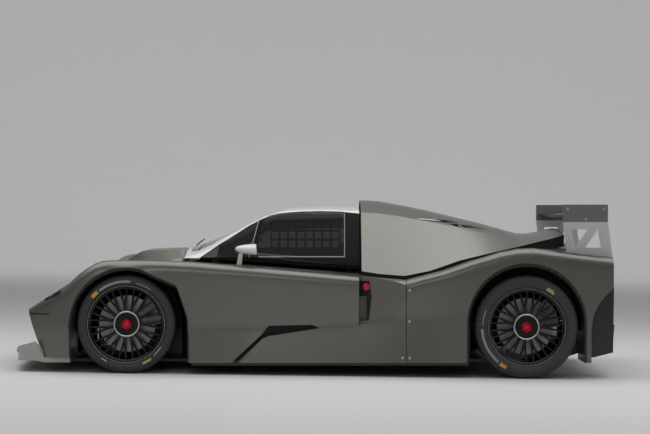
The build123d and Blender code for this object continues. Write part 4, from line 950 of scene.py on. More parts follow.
@dataclass
class Wheel:
    """One wheel: its rim with forked spokes, nut, hub ring, and the marks on its tyre."""

    frame: Frame
    axle: Axle
    side: Side
    centre_x: float
    centre_z: float
    tyre_width: float
    tyre_radius: float
    marks: Sequence[Mark]
    tyre_face_y: float = 935.0
    spoke_count: int = 15
    spoke_depth: float = 24.0
    hub_radius: float = 79.0
    pocket_radius: float = 70.0
    nut_radius: float = 33.0
    barrel_radius: float = 222.0
    flange_radius: float = 236.0
    barrel_wall: float = 7.0

    @property
    def tag(self) -> str:
        """Axle and side, as in a piece's name."""
        return f"{self.axle.value}_{self.side.word}"

    def node(self, part: str) -> str:
        """The CAD node of a part of this wheel."""
        return f"{self.axle.value}_{part}_{self.side.word}"

    @property
    def body(self) -> str:
        """The CAD body that turns."""
        return f"wheel_{self.tag}"

    @property
    def rim_half(self) -> float:
        """Half the rim's width."""
        return self.tyre_width / 2 - 10

    @property
    def face(self) -> float:
        """Height of the hub's face above the wheel's middle plane."""
        return self.rim_half - 34

    def wall(self, radius: float) -> float:
        """Height of the tyre's sidewall at a radius."""
        half = self.tyre_width / 2
        if radius < 258:
            return half - 10 * (258 - radius) / 19
        return half - 3 * (radius - 258) / (self.tyre_radius - 284)

    def onto_hub(self, piece: bpy.types.Object) -> None:
        """Turns a piece drawn round Z so that Z points outboard at this wheel's middle."""
        side = self.side.value
        centre_y = side * (self.tyre_face_y - self.tyre_width / 2)
        turn = Matrix.Rotation(math.radians(-90 * side), 4, "X")
        place = Matrix.Translation(Vector((self.centre_x, centre_y, self.centre_z)) * MM)
        piece.data.transform(place @ turn)
        piece.data.update()

    def fit(self, piece: bpy.types.Object, name: str, finish: Finish, angle: float = 35) -> None:
        """Puts a piece drawn round Z on this wheel and finishes it."""
        self.onto_hub(piece)
        settle(piece, f"{name}_{self.tag}", finish, self.body, level=False, angle=angle)

    def dress(self) -> None:
        """Finishes the CAD wheel and adds the rim, nut, hub ring and tyre marks."""
        centre = (self.centre_x * MM, self.centre_z * MM)
        # Slick rubber, buffed: dull, with faint rings from the mould.
        rubber = Turned(
            f"slick_rubber_{self.tag}",
            "343436",
            0.6,
            centre=centre,
            pitch_mm=5.0,
            depth_mm=0.2,
            shade="29292a",
        )
        # Cast iron, ground: its fine rings are drawn 3 mm apart, or they would not show. Its grey is drawn
        # paler than the iron's as painted light, against the shade the spokes throw on it.
        disc = Turned(
            f"ground_disc_iron_{self.tag}",
            "a5a49c",
            0.38,
            metallic=0.9,
            centre=centre,
            pitch_mm=3.0,
            shade="6c6b65",
        )
        # Bare aluminium, turned: bright, with tool marks drawn 1.5 mm apart.
        hub = Turned(f"turned_hub_{self.tag}", "c5c6c8", 0.25, metallic=1.0, centre=centre, pitch_mm=1.5)
        skins = Bodywork(self.frame)
        skins.skin(self.node("tyre"), rubber)
        skins.skin(self.node("brake_disc"), disc)
        skins.skin(self.node("upright"), CASTING)
        self.add_rim()
        self.add_nut()
        self.add_ring(hub)
        self.add_edge(hub)
        self.add_valve()
        for mark in self.marks:
            self.add_mark(mark)

    def add_rim(self) -> None:
        """The forged rim: barrel, flanges and hub with fifteen forked spokes."""
        half, face = self.rim_half, self.face
        bore = self.barrel_radius - self.barrel_wall
        barrel = ring_of(
            [
                (bore, -half),
                (bore, half - 14),
                (self.flange_radius - 5, half - 0.5),
                (self.flange_radius - 2, half),
                (self.flange_radius, half - 2),
                (self.flange_radius, half - 8),
                (self.barrel_radius, half - 8),
                (self.barrel_radius, 8 - half),
                (self.flange_radius, 8 - half),
                (self.flange_radius, -half),
            ],
            128,
        )
        hub = ring_of(
            [
                (30, face - 30),
                (self.hub_radius - 1, face - 30),
                (self.hub_radius - 1, face + 1),
                (self.hub_radius - 3, face + 3),
                (self.pocket_radius, face + 3),
                (self.pocket_radius, face - 12),
                (30, face - 12),
            ],
            72,
        )
        step = 2 * math.pi / self.spoke_count
        turns = [Matrix.Rotation(step * i, 4, "Z") for i in range(1, self.spoke_count)]
        spokes = twins(self.forked_spoke(), turns)
        rim = joined([barrel, hub, spokes])
        rim_name = self.node("rim")
        self.fit(rim, "forked_rim", RIM_COAT, 40)
        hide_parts(rim_name)

    def forked_spoke(self) -> bpy.types.Object:
        """One spoke: a root at the hub that forks into two ribs at the barrel.

        Returns:
            The spoke, drawn along X with its outer face up.
        """
        outline = [
            (self.hub_radius - 6, -11),
            (108, -10),
            (self.barrel_radius - 4, -29),
            (self.barrel_radius - 4, -20),
            (136, 0),
            (self.barrel_radius - 4, 20),
            (self.barrel_radius - 4, 29),
            (108, 10),
            (self.hub_radius - 6, 11),
        ]
        clear_selection()
        bpy.ops.mesh.primitive_circle_add(vertices=len(outline), radius=1, fill_type="NGON")
        piece = bpy.context.object
        for vertex, (x, y) in zip(piece.data.vertices, outline):
            vertex.co = (x * MM, y * MM, 0)
        make_active(piece)
        bpy.ops.object.mode_set(mode="EDIT")
        bpy.ops.mesh.select_all(action="SELECT")
        bpy.ops.mesh.extrude_region_move(TRANSFORM_OT_translate={"value": (0, 0, -self.spoke_depth * MM)})
        bpy.ops.mesh.select_all(action="SELECT")
        bpy.ops.mesh.normals_make_consistent(inside=False)
        bpy.ops.object.mode_set(mode="OBJECT")
        dish = 16 / (self.barrel_radius - 50)
        for vertex in piece.data.vertices:
            radius = math.hypot(vertex.co.x, vertex.co.y) / MM
            vertex.co.z += (self.face + dish * (radius - 50)) * MM
        soften(piece, 2.2, 2)
        return piece

    def add_nut(self) -> None:
        """The centre-lock nut: a hexagon with a stepped nose and a locking pin."""
        low = self.face - 11.5
        hexagon = rod((0, 0, low + 11), self.nut_radius, 22, (0, 0, 1), sides=6)
        soften(hexagon, 2.5, 2)
        nose = ring_of([(12, low + 14), (24, low + 14), (24, low + 27), (22, low + 29), (12, low + 29)], 48)
        self.fit(joined([hexagon, nose]), "wheel_nut", RED_ANODISED)
        pin = rod((0, 0, low + 17), 14, 22, (0, 0, 1), sides=24)
        soften(pin, 3.0, 3)
        self.fit(pin, "locking_pin", RED_KNOB)

    def add_ring(self, finish: Finish) -> None:
        """The turned ring round the nut's pocket."""
        top, inner, outer = self.face + 3.2, self.pocket_radius, self.hub_radius
        section = [(inner, top), (outer, top), (outer, top + 1.5), (outer - 2, top + 3), (inner + 2, top + 3)]
        self.fit(ring_of([*section, (inner, top + 1.5)], 96), "hub_ring", finish)

    def add_edge(self, finish: Finish) -> None:
        """A thin ring of turned aluminium on the rim's outer flange: a painted highlight of the flange's lip.
        """
        top = self.rim_half
        section = [(232.2, top - 0.3), (234, top - 0.3), (234, top + 0.4), (232.2, top + 0.4)]
        self.fit(ring_of(section, 128), "rim_edge", finish)

    def add_valve(self) -> None:
        """The tyre's valve stem, on the barrel between two spokes."""
        angle = math.pi / self.spoke_count
        radius = self.barrel_radius - self.barrel_wall - 5
        place = (radius * math.cos(angle), radius * math.sin(angle), self.rim_half - 22)
        stem = rod(place, 4, 26, (0, 0, 1), 16)
        soften(stem, 1.0)
        self.fit(stem, "valve_stem", ANODISED)

    def add_mark(self, mark: Mark) -> None:
        """A painted arc that lies on the sidewall."""
        radii = [mark.inner, *([258.0] if mark.inner < 258 < mark.outer else []), mark.outer]
        low = [(radius, self.wall(radius) - 0.2) for radius in radii]
        high = [(radius, self.wall(radius) + 0.4) for radius in reversed(radii)]
        piece = ring_of([*low, *high], max(4, int(mark.sweep)), mark.sweep)
        piece.data.transform(Matrix.Rotation(math.radians(mark.start + mark.sweep), 4, "Z"))
        self.fit(piece, mark.label, TyrePaint(f"tyre_paint_{mark.colour}", mark.colour, 0.65))


@dataclass
class ArchLiner:
    """The moulded liner of one wheel arch: a rolled sheet over the tyre and the wall inboard of it."""

    axle: Axle
    side: Side
    centre_x: float
    centre_z: float
    arch_radius: float
    wall_y: float
    outer_y: float = 800.0
    gap: float = 3.0
    sheet: float = 3.0
    axle_hole: float = 125.0
    overrun: float = 8.0

    def dress(self) -> None:
        """Spins the liner's section over the wheel and stands it in its arch."""
        radius, depth = self.arch_radius - self.gap, self.outer_y - self.wall_y
        section = [
            (self.axle_hole, 0),
            (radius, 0),
            (radius, depth),
            (radius - self.sheet, depth),
            (radius - self.sheet, self.sheet),
            (self.axle_hole, self.sheet),
        ]
        sweep = 180 + 2 * self.overrun
        side = self.side.value
        first = -self.overrun if self.side is Side.LEFT else self.overrun - sweep
        piece = ring_of(section, 64, sweep)
        piece.data.transform(Matrix.Rotation(math.radians(first + sweep), 4, "Z"))
        turn = Matrix.Rotation(math.radians(-90 * side), 4, "X")
        place = Matrix.Translation(Vector((self.centre_x, side * self.wall_y, self.centre_z)) * MM)
        piece.data.transform(place @ turn)
        settle(piece, f"arch_liner_{self.axle.value}_{self.side.word}", BLACK_COMPOSITE, "chassis")


@dataclass
class FlankTrim:
    """What sits on a flank: black sheets of painted shade in the vent, the outlet and behind the louvres,
    shut line, lamp wrap, cheek slot and cut-off.
    """

    frame: Frame
    side: Side
    front_x: float = FRONT_HUB[0]
    louvre_depth: float = 16.0
    louvres: Sequence[tuple[float, float, float, float]] = (
        (653.1, 921.1, 949, 928),
        (865.1, 1152.1, 912, 884),
    )
    vent_floor_y: float = 870.4
    seam_x: float = 565.1
    outlet_x: float = 281.1
    recess_y: float = 866.0
    recess_slope: float = 0.2135

    def dress(self) -> None:
        """Builds the trim of this side."""
        self.line_vent()
        self.line_outlet()
        self.draw_seam()
        self.add_louvres()
        self.surround_lamp()
        self.cut_nose_slot()
        self.add_cut_off()

    def line_vent(self) -> None:
        """A black sheet on the back wall of the door's exit vent: painted shade of the vent's inside."""
        fx = self.front_x
        outline = [
            (fx + 646, 86),
            (fx + 828, 254),
            (fx + 862, 301),
            (fx + 1126, 307),
            (fx + 1168, 289),
            (fx + 861, 242),
            (fx + 829, 229),
            (fx + 676, 86),
        ]
        side = self.side.value
        piece = plate(outline, side * self.vent_floor_y, side * (self.vent_floor_y + 3))
        settle(piece, f"vent_liner_{self.side.word}", BLACK_COMPOSITE, "chassis")

    def line_outlet(self) -> None:
        """Black sheets on the forward part of the outlet's ramp and on its back: painted shade of the
        recess's deepest part.
        """
        x, side = self.outlet_x, self.side.value
        outline = [
            (x + 47, 336),
            (x + 60, 340),
            (x + 76, 480),
            (x + 64, 575),
            (x + 2, 575),
            (x + 2, 481),
            (x + 47, 481),
        ]
        near = self.recess_y + 0.4
        piece = plate(outline, side * near, side * (near + 2))
        for vertex in piece.data.vertices:
            vertex.co.y += side * self.recess_slope * (vertex.co.x - x * MM)
        settle(piece, f"outlet_liner_{self.side.word}", BLACK_COMPOSITE, "chassis")
        # The recess's back wall, black as painted shade.
        low, high = sorted((side * 772, side * 866))
        back = cube((x + 0.4, low, 331), (x + 3, high, 477))
        settle(back, f"outlet_back_{self.side.word}", BLACK_COMPOSITE, "chassis")

    def skin_band(
        self, node: str, name: str, planes: Sequence[tuple[Point, Point]], finish: Finish
    ) -> None:
        """A band that lies on this side's skin between planes.

        Args:
            node: the CAD node whose skin is followed.
            name: the band's name, without its side.
            planes: the planes that bound it, ahead of whose normals nothing stays.
            finish: what its surface is.
        """
        sign = self.side.value
        piece = self.frame.strip_of(
            node,
            planes,
            lambda centre, normal: centre.y * sign > 0.3 and (normal.y * sign > 0.25 or normal.z > 0.4),
            0.4,
        )
        settle(piece, f"{name}_{self.side.word}", finish, "chassis", level=False)

    def add_louvres(self) -> None:
        """A black sheet behind each of the engine cover's two louvres: painted shade of the space behind
        them.
        """
        sign = self.side.value
        for index, (low_x, high_x, low_z, high_z) in enumerate(self.louvres):
            corners = (
                (low_x, low_z - 13),
                (high_x + 6, high_z - 13),
                (low_x, low_z + 11),
                (high_x + 6, high_z + 11),
            )
            clear_selection()
            bpy.ops.mesh.primitive_plane_add(size=1)
            sheet = bpy.context.object
            for vertex, (x, z) in zip(sheet.data.vertices, corners):
                place, normal = self.frame.touch("engine_cover", (x, sign * 1200, z), (0, -sign, 0))
                vertex.co = place - normal * self.louvre_depth * MM
            apply_modifier(sheet, "SOLIDIFY", thickness=1.5 * MM, offset=0)
            settle(
                sheet,
                f"louvre_back_{index + 1}_{self.side.word}",
                BLACK_COMPOSITE,
                "chassis",
                level=False,
            )

    def surround_lamp(self) -> None:
        """The black wrap of the headlamp over the fender's shoulder."""
        fx = self.front_x
        planes = [
            ((fx - 400, 0, 0), (1, 0, 0)),
            ((fx - 525, 0, 0), (-1, 0, 0)),
            ((fx - 525, 0, 437), (0.42, 0, -0.9)),
            ((0, self.side.value * 874, 0), (0, -self.side.value, 0)),
        ]
        self.skin_band(f"front_fender_{self.side.word}", "lamp_surround", planes, BLACK_ENAMEL)

    def cut_nose_slot(self) -> None:
        """The thin dark slot on the nose's cheek."""
        fx = self.front_x
        planes = [
            ((fx - 470, 0, 0), (1, 0, 0)),
            ((0, 0, 378), (0, 0, 1)),
            ((0, 0, 370), (0, 0, -1)),
            ((0, self.side.value * 800, 0), (0, -self.side.value, 0)),
        ]
        self.skin_band(f"front_fender_{self.side.word}", "cheek_slot", planes, BLACK_COMPOSITE)

    def draw_seam(self) -> None:
        """The dark shut line between the side panel and the rear fender."""
        side = self.side.value
        x = self.seam_x
        planes = [((x + 4.5, 0, 0), (1, 0, 0)), ((x, 0, 0), (-1, 0, 0))]
        piece = self.frame.strip_of(
            f"rear_fender_{self.side.word}",
            planes,
            lambda centre, normal: abs(normal.x) < 0.7 and (normal.y * side > 0.2 or normal.z > 0.3),
            0.3,
        )
        settle(piece, f"shut_line_{self.side.word}", SEAL_RUBBER, "chassis", level=False)

    def add_cut_off(self) -> None:
        """The red battery cut-off knob in the outlet's recess."""
        if self.side is Side.RIGHT:
            return
        side = self.side.value
        x, z, y = 326.0, 538.0, 877.0
        knob = rod((x, side * (y + 9), z), 21, 18, (0, side, 0), 40)
        soften(knob, 4.0, 3)
        select_faces(knob, lambda centre, normal: normal.y * side > 0.9)
        bpy.ops.mesh.inset(thickness=0.006, depth=0)
        bpy.ops.mesh.extrude_region_move(TRANSFORM_OT_translate={"value": (0, side * 0.004, 0)})
        bpy.ops.object.mode_set(mode="OBJECT")
        settle(knob, "battery_cut_off_knob", RED_KNOB, "chassis")
        collar = rod((x, side * y, z), 27, 5, (0, side, 0), 40)
        soften(collar, 1.5)
        settle(collar, "battery_cut_off_collar", BLACK_COMPOSITE, "chassis")


@dataclass
class Headlamp:
    """A headlamp: smoked cover, black bowl and two lens barrels in the fender's pocket."""

    frame: Frame
    side: Side
    front_x: float = FRONT_HUB[0]
    cover: float = 3.0

    def dress(self) -> None:
        """Builds the lamp of this side."""
        self.add_cover()
        self.add_bowl()
        self.add_lenses()
        self.add_strip()

    def add_cover(self) -> None:
        """The smoked cover: the lamp's own skin as a thin shell."""
        side = self.side.value
        piece = self.frame.copy_of("headlamps")
        select_faces(piece, lambda centre, normal: centre.y * side < 0 or normal.z < 0.35)
        bpy.ops.mesh.delete(type="FACE")
        bpy.ops.object.mode_set(mode="OBJECT")
        apply_modifier(piece, "SOLIDIFY", thickness=self.cover * MM, offset=-1)
        settle(piece, f"headlamp_cover_{self.side.word}", SMOKED_ACRYLIC, "chassis", level=False)
        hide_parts("headlamps")

    def sloped(self, outline: Sequence[tuple[float, float]], low: float, high: float) -> bpy.types.Object:
        """A slab across the lamp from a side-view outline relative to the front axle."""
        side = self.side.value
        points = [(self.front_x + x, z) for x, z in outline]
        return plate(points, side * low, side * high)

    def add_bowl(self) -> None:
        """The black bowl: a thin slab on the pocket's floor."""
        bowl = self.sloped([(-502, 462.4), (-338, 542.6), (-338, 546), (-502, 465)], 644, 868)
        settle(bowl, f"headlamp_bowl_{self.side.word}", BLACK_ENAMEL, "chassis")

    def add_lenses(self) -> None:
        """Two bright lens barrels that stand up from the bowl."""
        slope = math.atan2(80.2, 164)
        facing = (-math.sin(slope), 0, math.cos(slope))
        for index, (x, y) in enumerate(((-372, 700), (-372, 800))):
            z = 546 + (x + 338) * 0.489
            middle = (self.front_x + x - 4, self.side.value * y, z + 5)
            lens = rod(middle, 27, 12, facing, 40)
            soften(lens, 4.0, 3)
            settle(lens, f"headlamp_lens_{index + 1}_{self.side.word}", LAMP_GLASS, "chassis")

    def add_strip(self) -> None:
        """The daylight strip along the bowl's outer edge."""
        strip = self.sloped([(-470, 481), (-346, 541.5), (-346, 546.5), (-470, 485)], 850, 860)
        soften(strip, 1.0)
        settle(strip, f"daylight_strip_{self.side.word}", LAMP_GLASS, "chassis")


@dataclass
class Mirror:
    """A door mirror: a rounded pod on a blade stalk, with its glass facing back."""

    frame: Frame
    side: Side
    low: Point = (-486.0, 746.0, 725.0)
    high: Point = (-345.0, 894.0, 804.0)

    def dress(self) -> None:
        """Builds the mirror of this side."""
        pod = self.add_pod()
        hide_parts("mirrors")
        self.add_stalk()
        self.add_glass()

    def mirrored(self, point: Point) -> Point:
        """A point of the right mirror on this side."""
        return (point[0], self.side.value * point[1], point[2])

    def add_pod(self) -> bpy.types.Object:
        """The pod, white as a painted reflection of the bright ceiling: a box pulled to a rounded nose, with
        a lip round the glass.
        """
        corners = (self.mirrored(self.low), self.mirrored(self.high))
        low = tuple(min(pair) for pair in zip(*corners))
        high = tuple(max(pair) for pair in zip(*corners))
        pod = cube(low, high)
        middle = (Vector(low) + Vector(high)) / 2 * MM
        for vertex in pod.data.vertices:
            if vertex.co.x < middle.x:
                vertex.co.y = middle.y + (vertex.co.y - middle.y) * 0.72
                vertex.co.z = middle.z + 0.004 + (vertex.co.z - middle.z) * 0.62
        select_faces(pod, lambda centre, normal: normal.x > 0.9)
        bpy.ops.mesh.inset(thickness=0.004, depth=0)
        bpy.ops.mesh.inset(thickness=0.004, depth=0)
        bpy.ops.mesh.extrude_region_move(TRANSFORM_OT_translate={"value": (-0.012, 0, 0)})
        bpy.ops.mesh.inset(thickness=0.003, depth=0)
        bpy.ops.object.mode_set(mode="OBJECT")
        apply_modifier(pod, "SUBSURF", levels=3, render_levels=3)
        return settle(pod, f"mirror_pod_{self.side.word}", PAINTED_REFLECTION_WHITE, "chassis", angle=50)

    def add_stalk(self) -> None:
        """The blade, in the same painted-reflection white, that carries the pod from the flank's shoulder."""
        side = self.side.value
        outline = [(-466, 668), (-434, 668), (-428, 742), (-452, 742)]
        stalk = plate(outline, side * 802, side * 814)
        soften(stalk, 3.0, 3)
        settle(stalk, f"mirror_stalk_{self.side.word}", PAINTED_REFLECTION_WHITE, "chassis")

    def add_glass(self) -> None:
        """The mirror glass inside the lip."""
        side = self.side.value
        x = self.high[0] - 10
        glass = rod((x, side * 820, 764.5), 33, 2.0, (1, 0, 0), 48)
        for vertex in glass.data.vertices:
            vertex.co.y = side * 0.820 + (vertex.co.y - side * 0.820) * 1.75
            vertex.co.z = 0.7645 + (vertex.co.z - 0.7645) * 0.9
        soften(glass, 0.6)
        settle(glass, f"mirror_glass_{self.side.word}", MIRROR_GLASS, "chassis")


@dataclass
class CanopyTrim:
    """What sits on the canopy: painted highlights along the window edges, dividers and the wiper."""

    frame: Frame
    front_x: float = -799.84
    sill_z: float = 712.0
    rear_x: float = 200.16

    def dress(self) -> None:
        """Builds the trim of both windows and the wiper."""
        for side in Side:
            self.edge_window(side)
            self.divide_window(side)
        self.add_wiper()

    def band_on_glass(
        self, side: Side, name: str, planes: Sequence[tuple[Point, Point]], finish: Finish, lift: float = 0.4
    ) -> None:
        """A printed or bonded band on one side window; the pale ones are painted highlights.

        Args:
            side: which window.
            name: the band's name.
            planes: the planes that bound it, ahead of whose normals nothing stays.
            finish: what it is made of.
            lift: how far it stands off the glass.
        """
        sign = side.value
        piece = self.frame.strip_of(
            "side_glass", planes, lambda centre, normal: normal.y * sign > 0.4 and centre.y * sign > 0, lift
        )
        settle(piece, f"{name}_{side.word}", finish, "canopy", level=False)

    def edge_window(self, side: Side) -> None:
        """A thin pale band along the window's sill and its rear: a painted highlight of the window's edge."""
        sill = [((0, 0, self.sill_z + 6), (0, 0, 1)), ((self.front_x + 460, 0, 0), (-1, 0, 0))]
        rear = [((self.rear_x - 6, 0, 0), (-1, 0, 0)), ((0, 0, self.sill_z + 6), (0, 0, -1))]
        self.band_on_glass(side, "window_sill_edge", sill, WINDOW_EDGE_HIGHLIGHT)
        self.band_on_glass(side, "window_rear_edge", rear, WINDOW_EDGE_HIGHLIGHT)

    def divide_window(self, side: Side) -> None:
        """The leaning divider between the quarter window and the main window, with a pale painted highlight
        along one edge.
        """
        lean = (0.969, 0, -0.248)
        black = [((-344, 0, 931), (-lean[0], 0, -lean[2])), ((-318, 0, 931), lean)]
        pale = [((-344, 0, 931), (-lean[0], 0, -lean[2])), ((-339, 0, 931), lean)]
        self.band_on_glass(side, "window_divider", black, BLACK_ENAMEL)
        self.band_on_glass(side, "divider_edge", pale, WINDOW_EDGE_HIGHLIGHT, 0.8)

    def add_wiper(self) -> None:
        """The wiper's blade, which lies along the screen's base."""
        start, _ = self.frame.touch("windscreen", (self.front_x + 62, -300, 1200), (0, 0, -1))
        end, _ = self.frame.touch("windscreen", (self.front_x + 90, 60, 1200), (0, 0, -1))
        along = end - start
        middle = (start + end) / 2 + Vector((-0.004, 0, 0.012))
        blade = rod(tuple(middle / MM), 4, along.length / MM, tuple(along), 12)
        soften(blade, 1.5)
        settle(blade, "wiper_blade", BLACK_COMPOSITE, "canopy", level=False)


@dataclass
class Tail:
    """What shows at the tail: exhaust tips and vent mesh."""

    frame: Frame
    rear_x: float = REAR_HUB[0]
    tip_y: float = 118.0
    tip_z: float = 436.0

    def dress(self) -> None:
        """Builds the tail's trim."""
        tip = self.exhaust_tip()
        twin = twins(tip, [Matrix.Translation((0, 2 * self.tip_y * MM, 0))])
        settle(twin, "exhaust_tips", EXHAUST_STEEL, "chassis")
        self.add_mesh()

    def exhaust_tip(self) -> bpy.types.Object:
        """One rolled-edge exhaust tip, on the left."""
        tip = ring_of([(31, -60), (34, -60), (34, 44), (36, 48), (34.5, 50), (31, 46)], 48)
        turn = Matrix.Rotation(math.radians(90), 4, "Y")
        place = Matrix.Translation(Vector((self.rear_x + 440, -self.tip_y, self.tip_z)) * MM)
        tip.data.transform(place @ turn)
        tip.data.update()
        return tip

    def add_mesh(self) -> None:
        """Black wire mesh at the back of the tail's vent."""
        bars = cube((self.rear_x + 332, -299, 392), (self.rear_x + 335, -297, 478))
        across = [Matrix.Translation((0, 12 * i * MM, 0)) for i in range(1, 50)]
        uprights = twins(bars, across)
        rail = cube((self.rear_x + 330, -299, 396), (self.rear_x + 332.5, 299, 398))
        rows = twins(rail, [Matrix.Translation((0, 0, 12 * i * MM)) for i in range(1, 7)])
        settle(joined([uprights, rows]), "tail_vent_mesh", BLACK_COMPOSITE, "chassis")


@dataclass
class Cabin:
    """What the driver touches or reads: belts and display."""

    frame: Frame
    seat_y: float = -215.0
    dash_x: float = -595.84

    def dress(self) -> None:
        """Builds the cabin's fittings."""
        self.add_belts()
        self.add_display()

    def add_belts(self) -> None:
        """Two shoulder belts that lie on the seat back."""
        back = [(41, 228), (178, 770), (186, 778), (192, 772), (186, 768), (46, 226)]
        line = [(30 + (x - 41) * 0.985, z) for x, z in back]
        for label, y in (("left", self.seat_y - 95), ("right", self.seat_y + 45)):
            belt = plate([(x - 3, z) for x, z in line], y, y + 50)
            soften(belt, 0.8)
            settle(belt, f"shoulder_belt_{label}", BELT, "chassis")

    def add_display(self) -> None:
        """The display pod on the dashboard, with its glass."""
        pod = cube((self.dash_x - 70, self.seat_y - 95, 584.5), (self.dash_x - 20, self.seat_y + 95, 626))
        select_faces(pod, lambda centre, normal: normal.x > 0.9)
        bpy.ops.mesh.inset(thickness=0.006, depth=0)
        bpy.ops.mesh.extrude_region_move(TRANSFORM_OT_translate={"value": (-0.004, 0, 0)})
        bpy.ops.object.mode_set(mode="OBJECT")
        soften(pod, 3.0, 2)
        settle(pod, "display_pod", BLACK_COMPOSITE, "chassis")
        glass = cube((self.dash_x - 24.5, self.seat_y - 86, 592), (self.dash_x - 22, self.seat_y + 86, 619))
        soften(glass, 0.8)
        settle(glass, "display_glass", SCREEN, "chassis")


@dataclass
class Studs:
    """Quarter-turn studs that hold the panels, seated on the skins."""

    frame: Frame
    radius: float = 8.0

    def dress(self) -> None:
        """Seats every stud and joins them to one piece."""
        studs = []
        for node, start, heading in self.seats():
            place, normal = self.frame.touch(node, start, heading)
            stud = rod(tuple((place + normal * 0.0004) / MM), self.radius, 2.2, tuple(normal), 20)
            soften(stud, 0.6)
            studs.append(stud)
        settle(joined(studs), "panel_studs", ANODISED, "chassis", level=False)

    def seats(self) -> list[tuple[str, Point, Point]]:
        """Where the studs go: node, start of the ray and its heading.

        Returns:
            One entry per stud.
        """
        seats: list[tuple[str, Point, Point]] = []
        for side in Side:
            sign = side.value
            inward = (0, -sign, 0)
            for z in (110.0, 330.0, 520.0):
                seats.append((f"rear_fender_{side.word}", (588, sign * 1200, z), inward))
            seats.append((f"side_panel_{side.word}", (545, sign * 1200, 110), inward))
            for x in (-1440.0, -1180.0, -930.0):
                seats.append(("nose_panel", (x, sign * 520, 1200), (0, 0, -1)))
            seats.append(("wing_endplates", (1560, sign * 1200, 1012), inward))
            seats.append(("wing_endplates", (1780, sign * 1200, 1012), inward))
            seats.append(("wing_endplates", (1670, sign * 1200, 950), inward))
        return seats


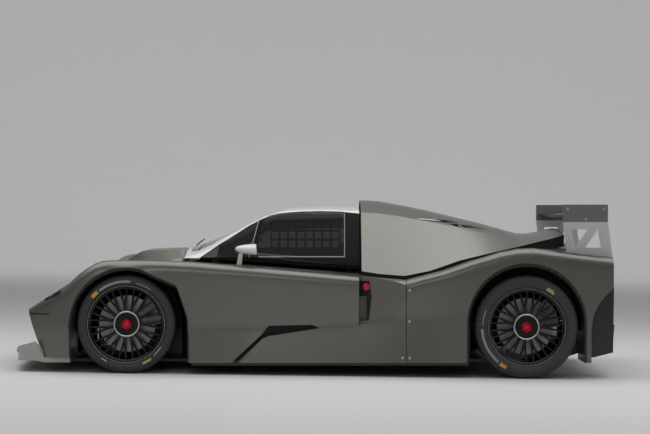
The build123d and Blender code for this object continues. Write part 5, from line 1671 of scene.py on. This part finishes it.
@dataclass
class Stage:
    """Floor, backdrop, lamps and camera."""

    floor_colour: str = "d4d4d4"
    camera_place: Point = (0.061, -13.5, 1.019)
    lens: float = 115.0
    pitch: float = 0.248
    room_radius: float = 26.0
    cove_radius: float = 6.0
    wall_height: float = 9.0

    def build(self) -> None:
        """Sets the whole stage."""
        self.add_floor()
        self.light_world()
        self.add_lamps()
        self.add_camera()

    def add_floor(self) -> None:
        """A round pale floor that sweeps up into a wall all round, so that every side has a background."""
        radius, cove, wall = self.room_radius, self.cove_radius, self.wall_height
        bends = [math.radians(90 * step / 10) for step in range(11)]
        curve = [(radius - cove + cove * math.sin(b), cove - cove * math.cos(b)) for b in bends]
        section = [(0.02, 0.0), *curve, (radius, wall)]
        clear_selection()
        bpy.ops.mesh.primitive_circle_add(vertices=len(section), radius=1, fill_type="NOTHING")
        floor = bpy.context.object
        for vertex, (out, height) in zip(floor.data.vertices, section):
            vertex.co = (out, 0, height)
        make_active(floor)
        bpy.ops.object.mode_set(mode="EDIT")
        bpy.ops.mesh.select_mode(type="EDGE")
        bpy.ops.mesh.select_all(action="DESELECT")
        bpy.ops.object.mode_set(mode="OBJECT")
        for edge in floor.data.edges:
            edge.select = abs(edge.vertices[0] - edge.vertices[1]) > 1
        bpy.ops.object.mode_set(mode="EDIT")
        bpy.ops.mesh.delete(type="EDGE")
        bpy.ops.mesh.select_all(action="SELECT")
        bpy.ops.mesh.spin(steps=96, angle=math.tau, center=(0, 0, 0), axis=(0, 0, 1), use_auto_merge=True)
        bpy.ops.mesh.select_all(action="SELECT")
        bpy.ops.mesh.remove_doubles(threshold=1e-4)
        bpy.ops.mesh.fill_holes(sides=200)
        bpy.ops.mesh.select_all(action="SELECT")
        bpy.ops.mesh.normals_make_consistent(inside=True)
        bpy.ops.object.mode_set(mode="OBJECT")
        select_faces(floor, lambda centre, normal: centre.z > wall - 1 and abs(normal.z) > 0.9)
        bpy.ops.mesh.delete(type="FACE")
        bpy.ops.object.mode_set(mode="OBJECT")
        floor.name = "studio_floor"
        # Matt paper: pale and even, with no gloss.
        paper = Grained(
            "studio_paper", self.floor_colour, 0.9, grain_mm=8.0, depth_mm=0.0, shade="cbcbcb", spread=0.2
        )
        floor.data.materials.append(paper.material())
        smooth(floor, 60)

    def light_world(self) -> None:
        """A neutral room, brighter overhead than at eye level."""
        world = bpy.data.worlds.new("studio")
        bpy.context.scene.world = world
        world.use_nodes = True
        tree = world.node_tree
        background = tree.nodes["Background"]
        place = add_node(tree, PLACE).outputs["Generated"]
        height = add_node(tree, SPLIT, None, {0: place}).outputs[2]
        span = {0: height, 1: 0.05, 2: 0.75, 3: 0.0, 4: 1.0}
        rise = add_node(tree, "ShaderNodeMapRange", {"interpolation_type": "SMOOTHSTEP"}, span).outputs[0]
        shades = {0: rise, 6: linear("3a3a3b"), 7: linear("d0d0d0")}
        tree.links.new(add_node(tree, MIX, COLOURS, shades).outputs[2], background.inputs[0])
        background.inputs[1].default_value = 0.6

    def add_lamps(self) -> None:
        """A broad soft ceiling and a weak fill from the camera's side."""
        panels = [
            ("ceiling", (0, -0.5, 5.6), (0, -0.5, 0), 12.0, 6.0, 330.0),
            ("near_fill", (-2.0, -9.0, 3.0), (0, 0, 0.4), 5.0, 2.0, 40.0),
            ("tail_fill", (7.0, -1.5, 2.6), (0.8, 0, 0.5), 3.0, 2.0, 45.0),
            ("backdrop_wash", (0, 17.0, 9.0), (0, 26.0, 2.0), 22.0, 2.0, 560.0),
        ]
        for label, place, target, wide, tall, power in panels:
            clear_selection()
            bpy.ops.object.light_add(type="AREA", location=place)
            lamp = bpy.context.object
            lamp.name = label
            lamp.data.shape = "RECTANGLE"
            lamp.data.size, lamp.data.size_y = wide, tall
            lamp.data.energy = power
            lamp.rotation_euler = (Vector(target) - Vector(place)).to_track_quat("-Z", "Y").to_euler()

    def add_camera(self) -> None:
        """The camera at the photograph's place, level with the body's own axis."""
        clear_selection()
        bpy.ops.object.camera_add(location=self.camera_place)
        camera = bpy.context.object
        camera.data.lens = self.lens
        camera.data.sensor_width = 36.0
        camera.data.clip_end = 200.0
        right = Vector((math.cos(RAKE), 0, math.sin(RAKE)))
        up = Vector((-math.sin(RAKE), 0, math.cos(RAKE)))
        level = Matrix((right, up, right.cross(up))).transposed()
        tilt = Matrix.Rotation(math.radians(-self.pitch), 3, "X")
        camera.rotation_euler = (level @ tilt).to_euler()
        bpy.context.scene.camera = camera


def main() -> None:
    """Builds the classes in order."""
    logging.basicConfig(level=logging.INFO, format="%(message)s")
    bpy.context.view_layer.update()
    bpy.context.scene.view_settings.view_transform = "Standard"
    model = Frame.of(frame)
    for side in Side:
        Headlamp(model, side).dress()
        Mirror(model, side).dress()
        FlankTrim(model, side).dress()
        ArchLiner(Axle.FRONT, side, *FRONT_HUB, arch_radius=330, wall_y=590).dress()
        ArchLiner(
            Axle.REAR, side, REAR_HUB[0], REAR_HUB[1] + REAR_ARCH_RISE, arch_radius=349, wall_y=655
        ).dress()
    CanopyTrim(model).dress()
    Tail(model).dress()
    Cabin(model).dress()
    Studs(model).dress()
    Bodywork(model).dress()
    for side in Side:
        Wheel(
            model,
            Axle.FRONT,
            side,
            centre_x=-1135,
            centre_z=298,
            tyre_width=215,
            tyre_radius=298,
            marks=FRONT_MARKS,
        ).dress()
        Wheel(
            model,
            Axle.REAR,
            side,
            centre_x=1295,
            centre_z=313,
            tyre_width=268,
            tyre_radius=313,
            marks=REAR_MARKS,
        ).dress()
    Stage().build()


if __name__ == "__main__":
    main()
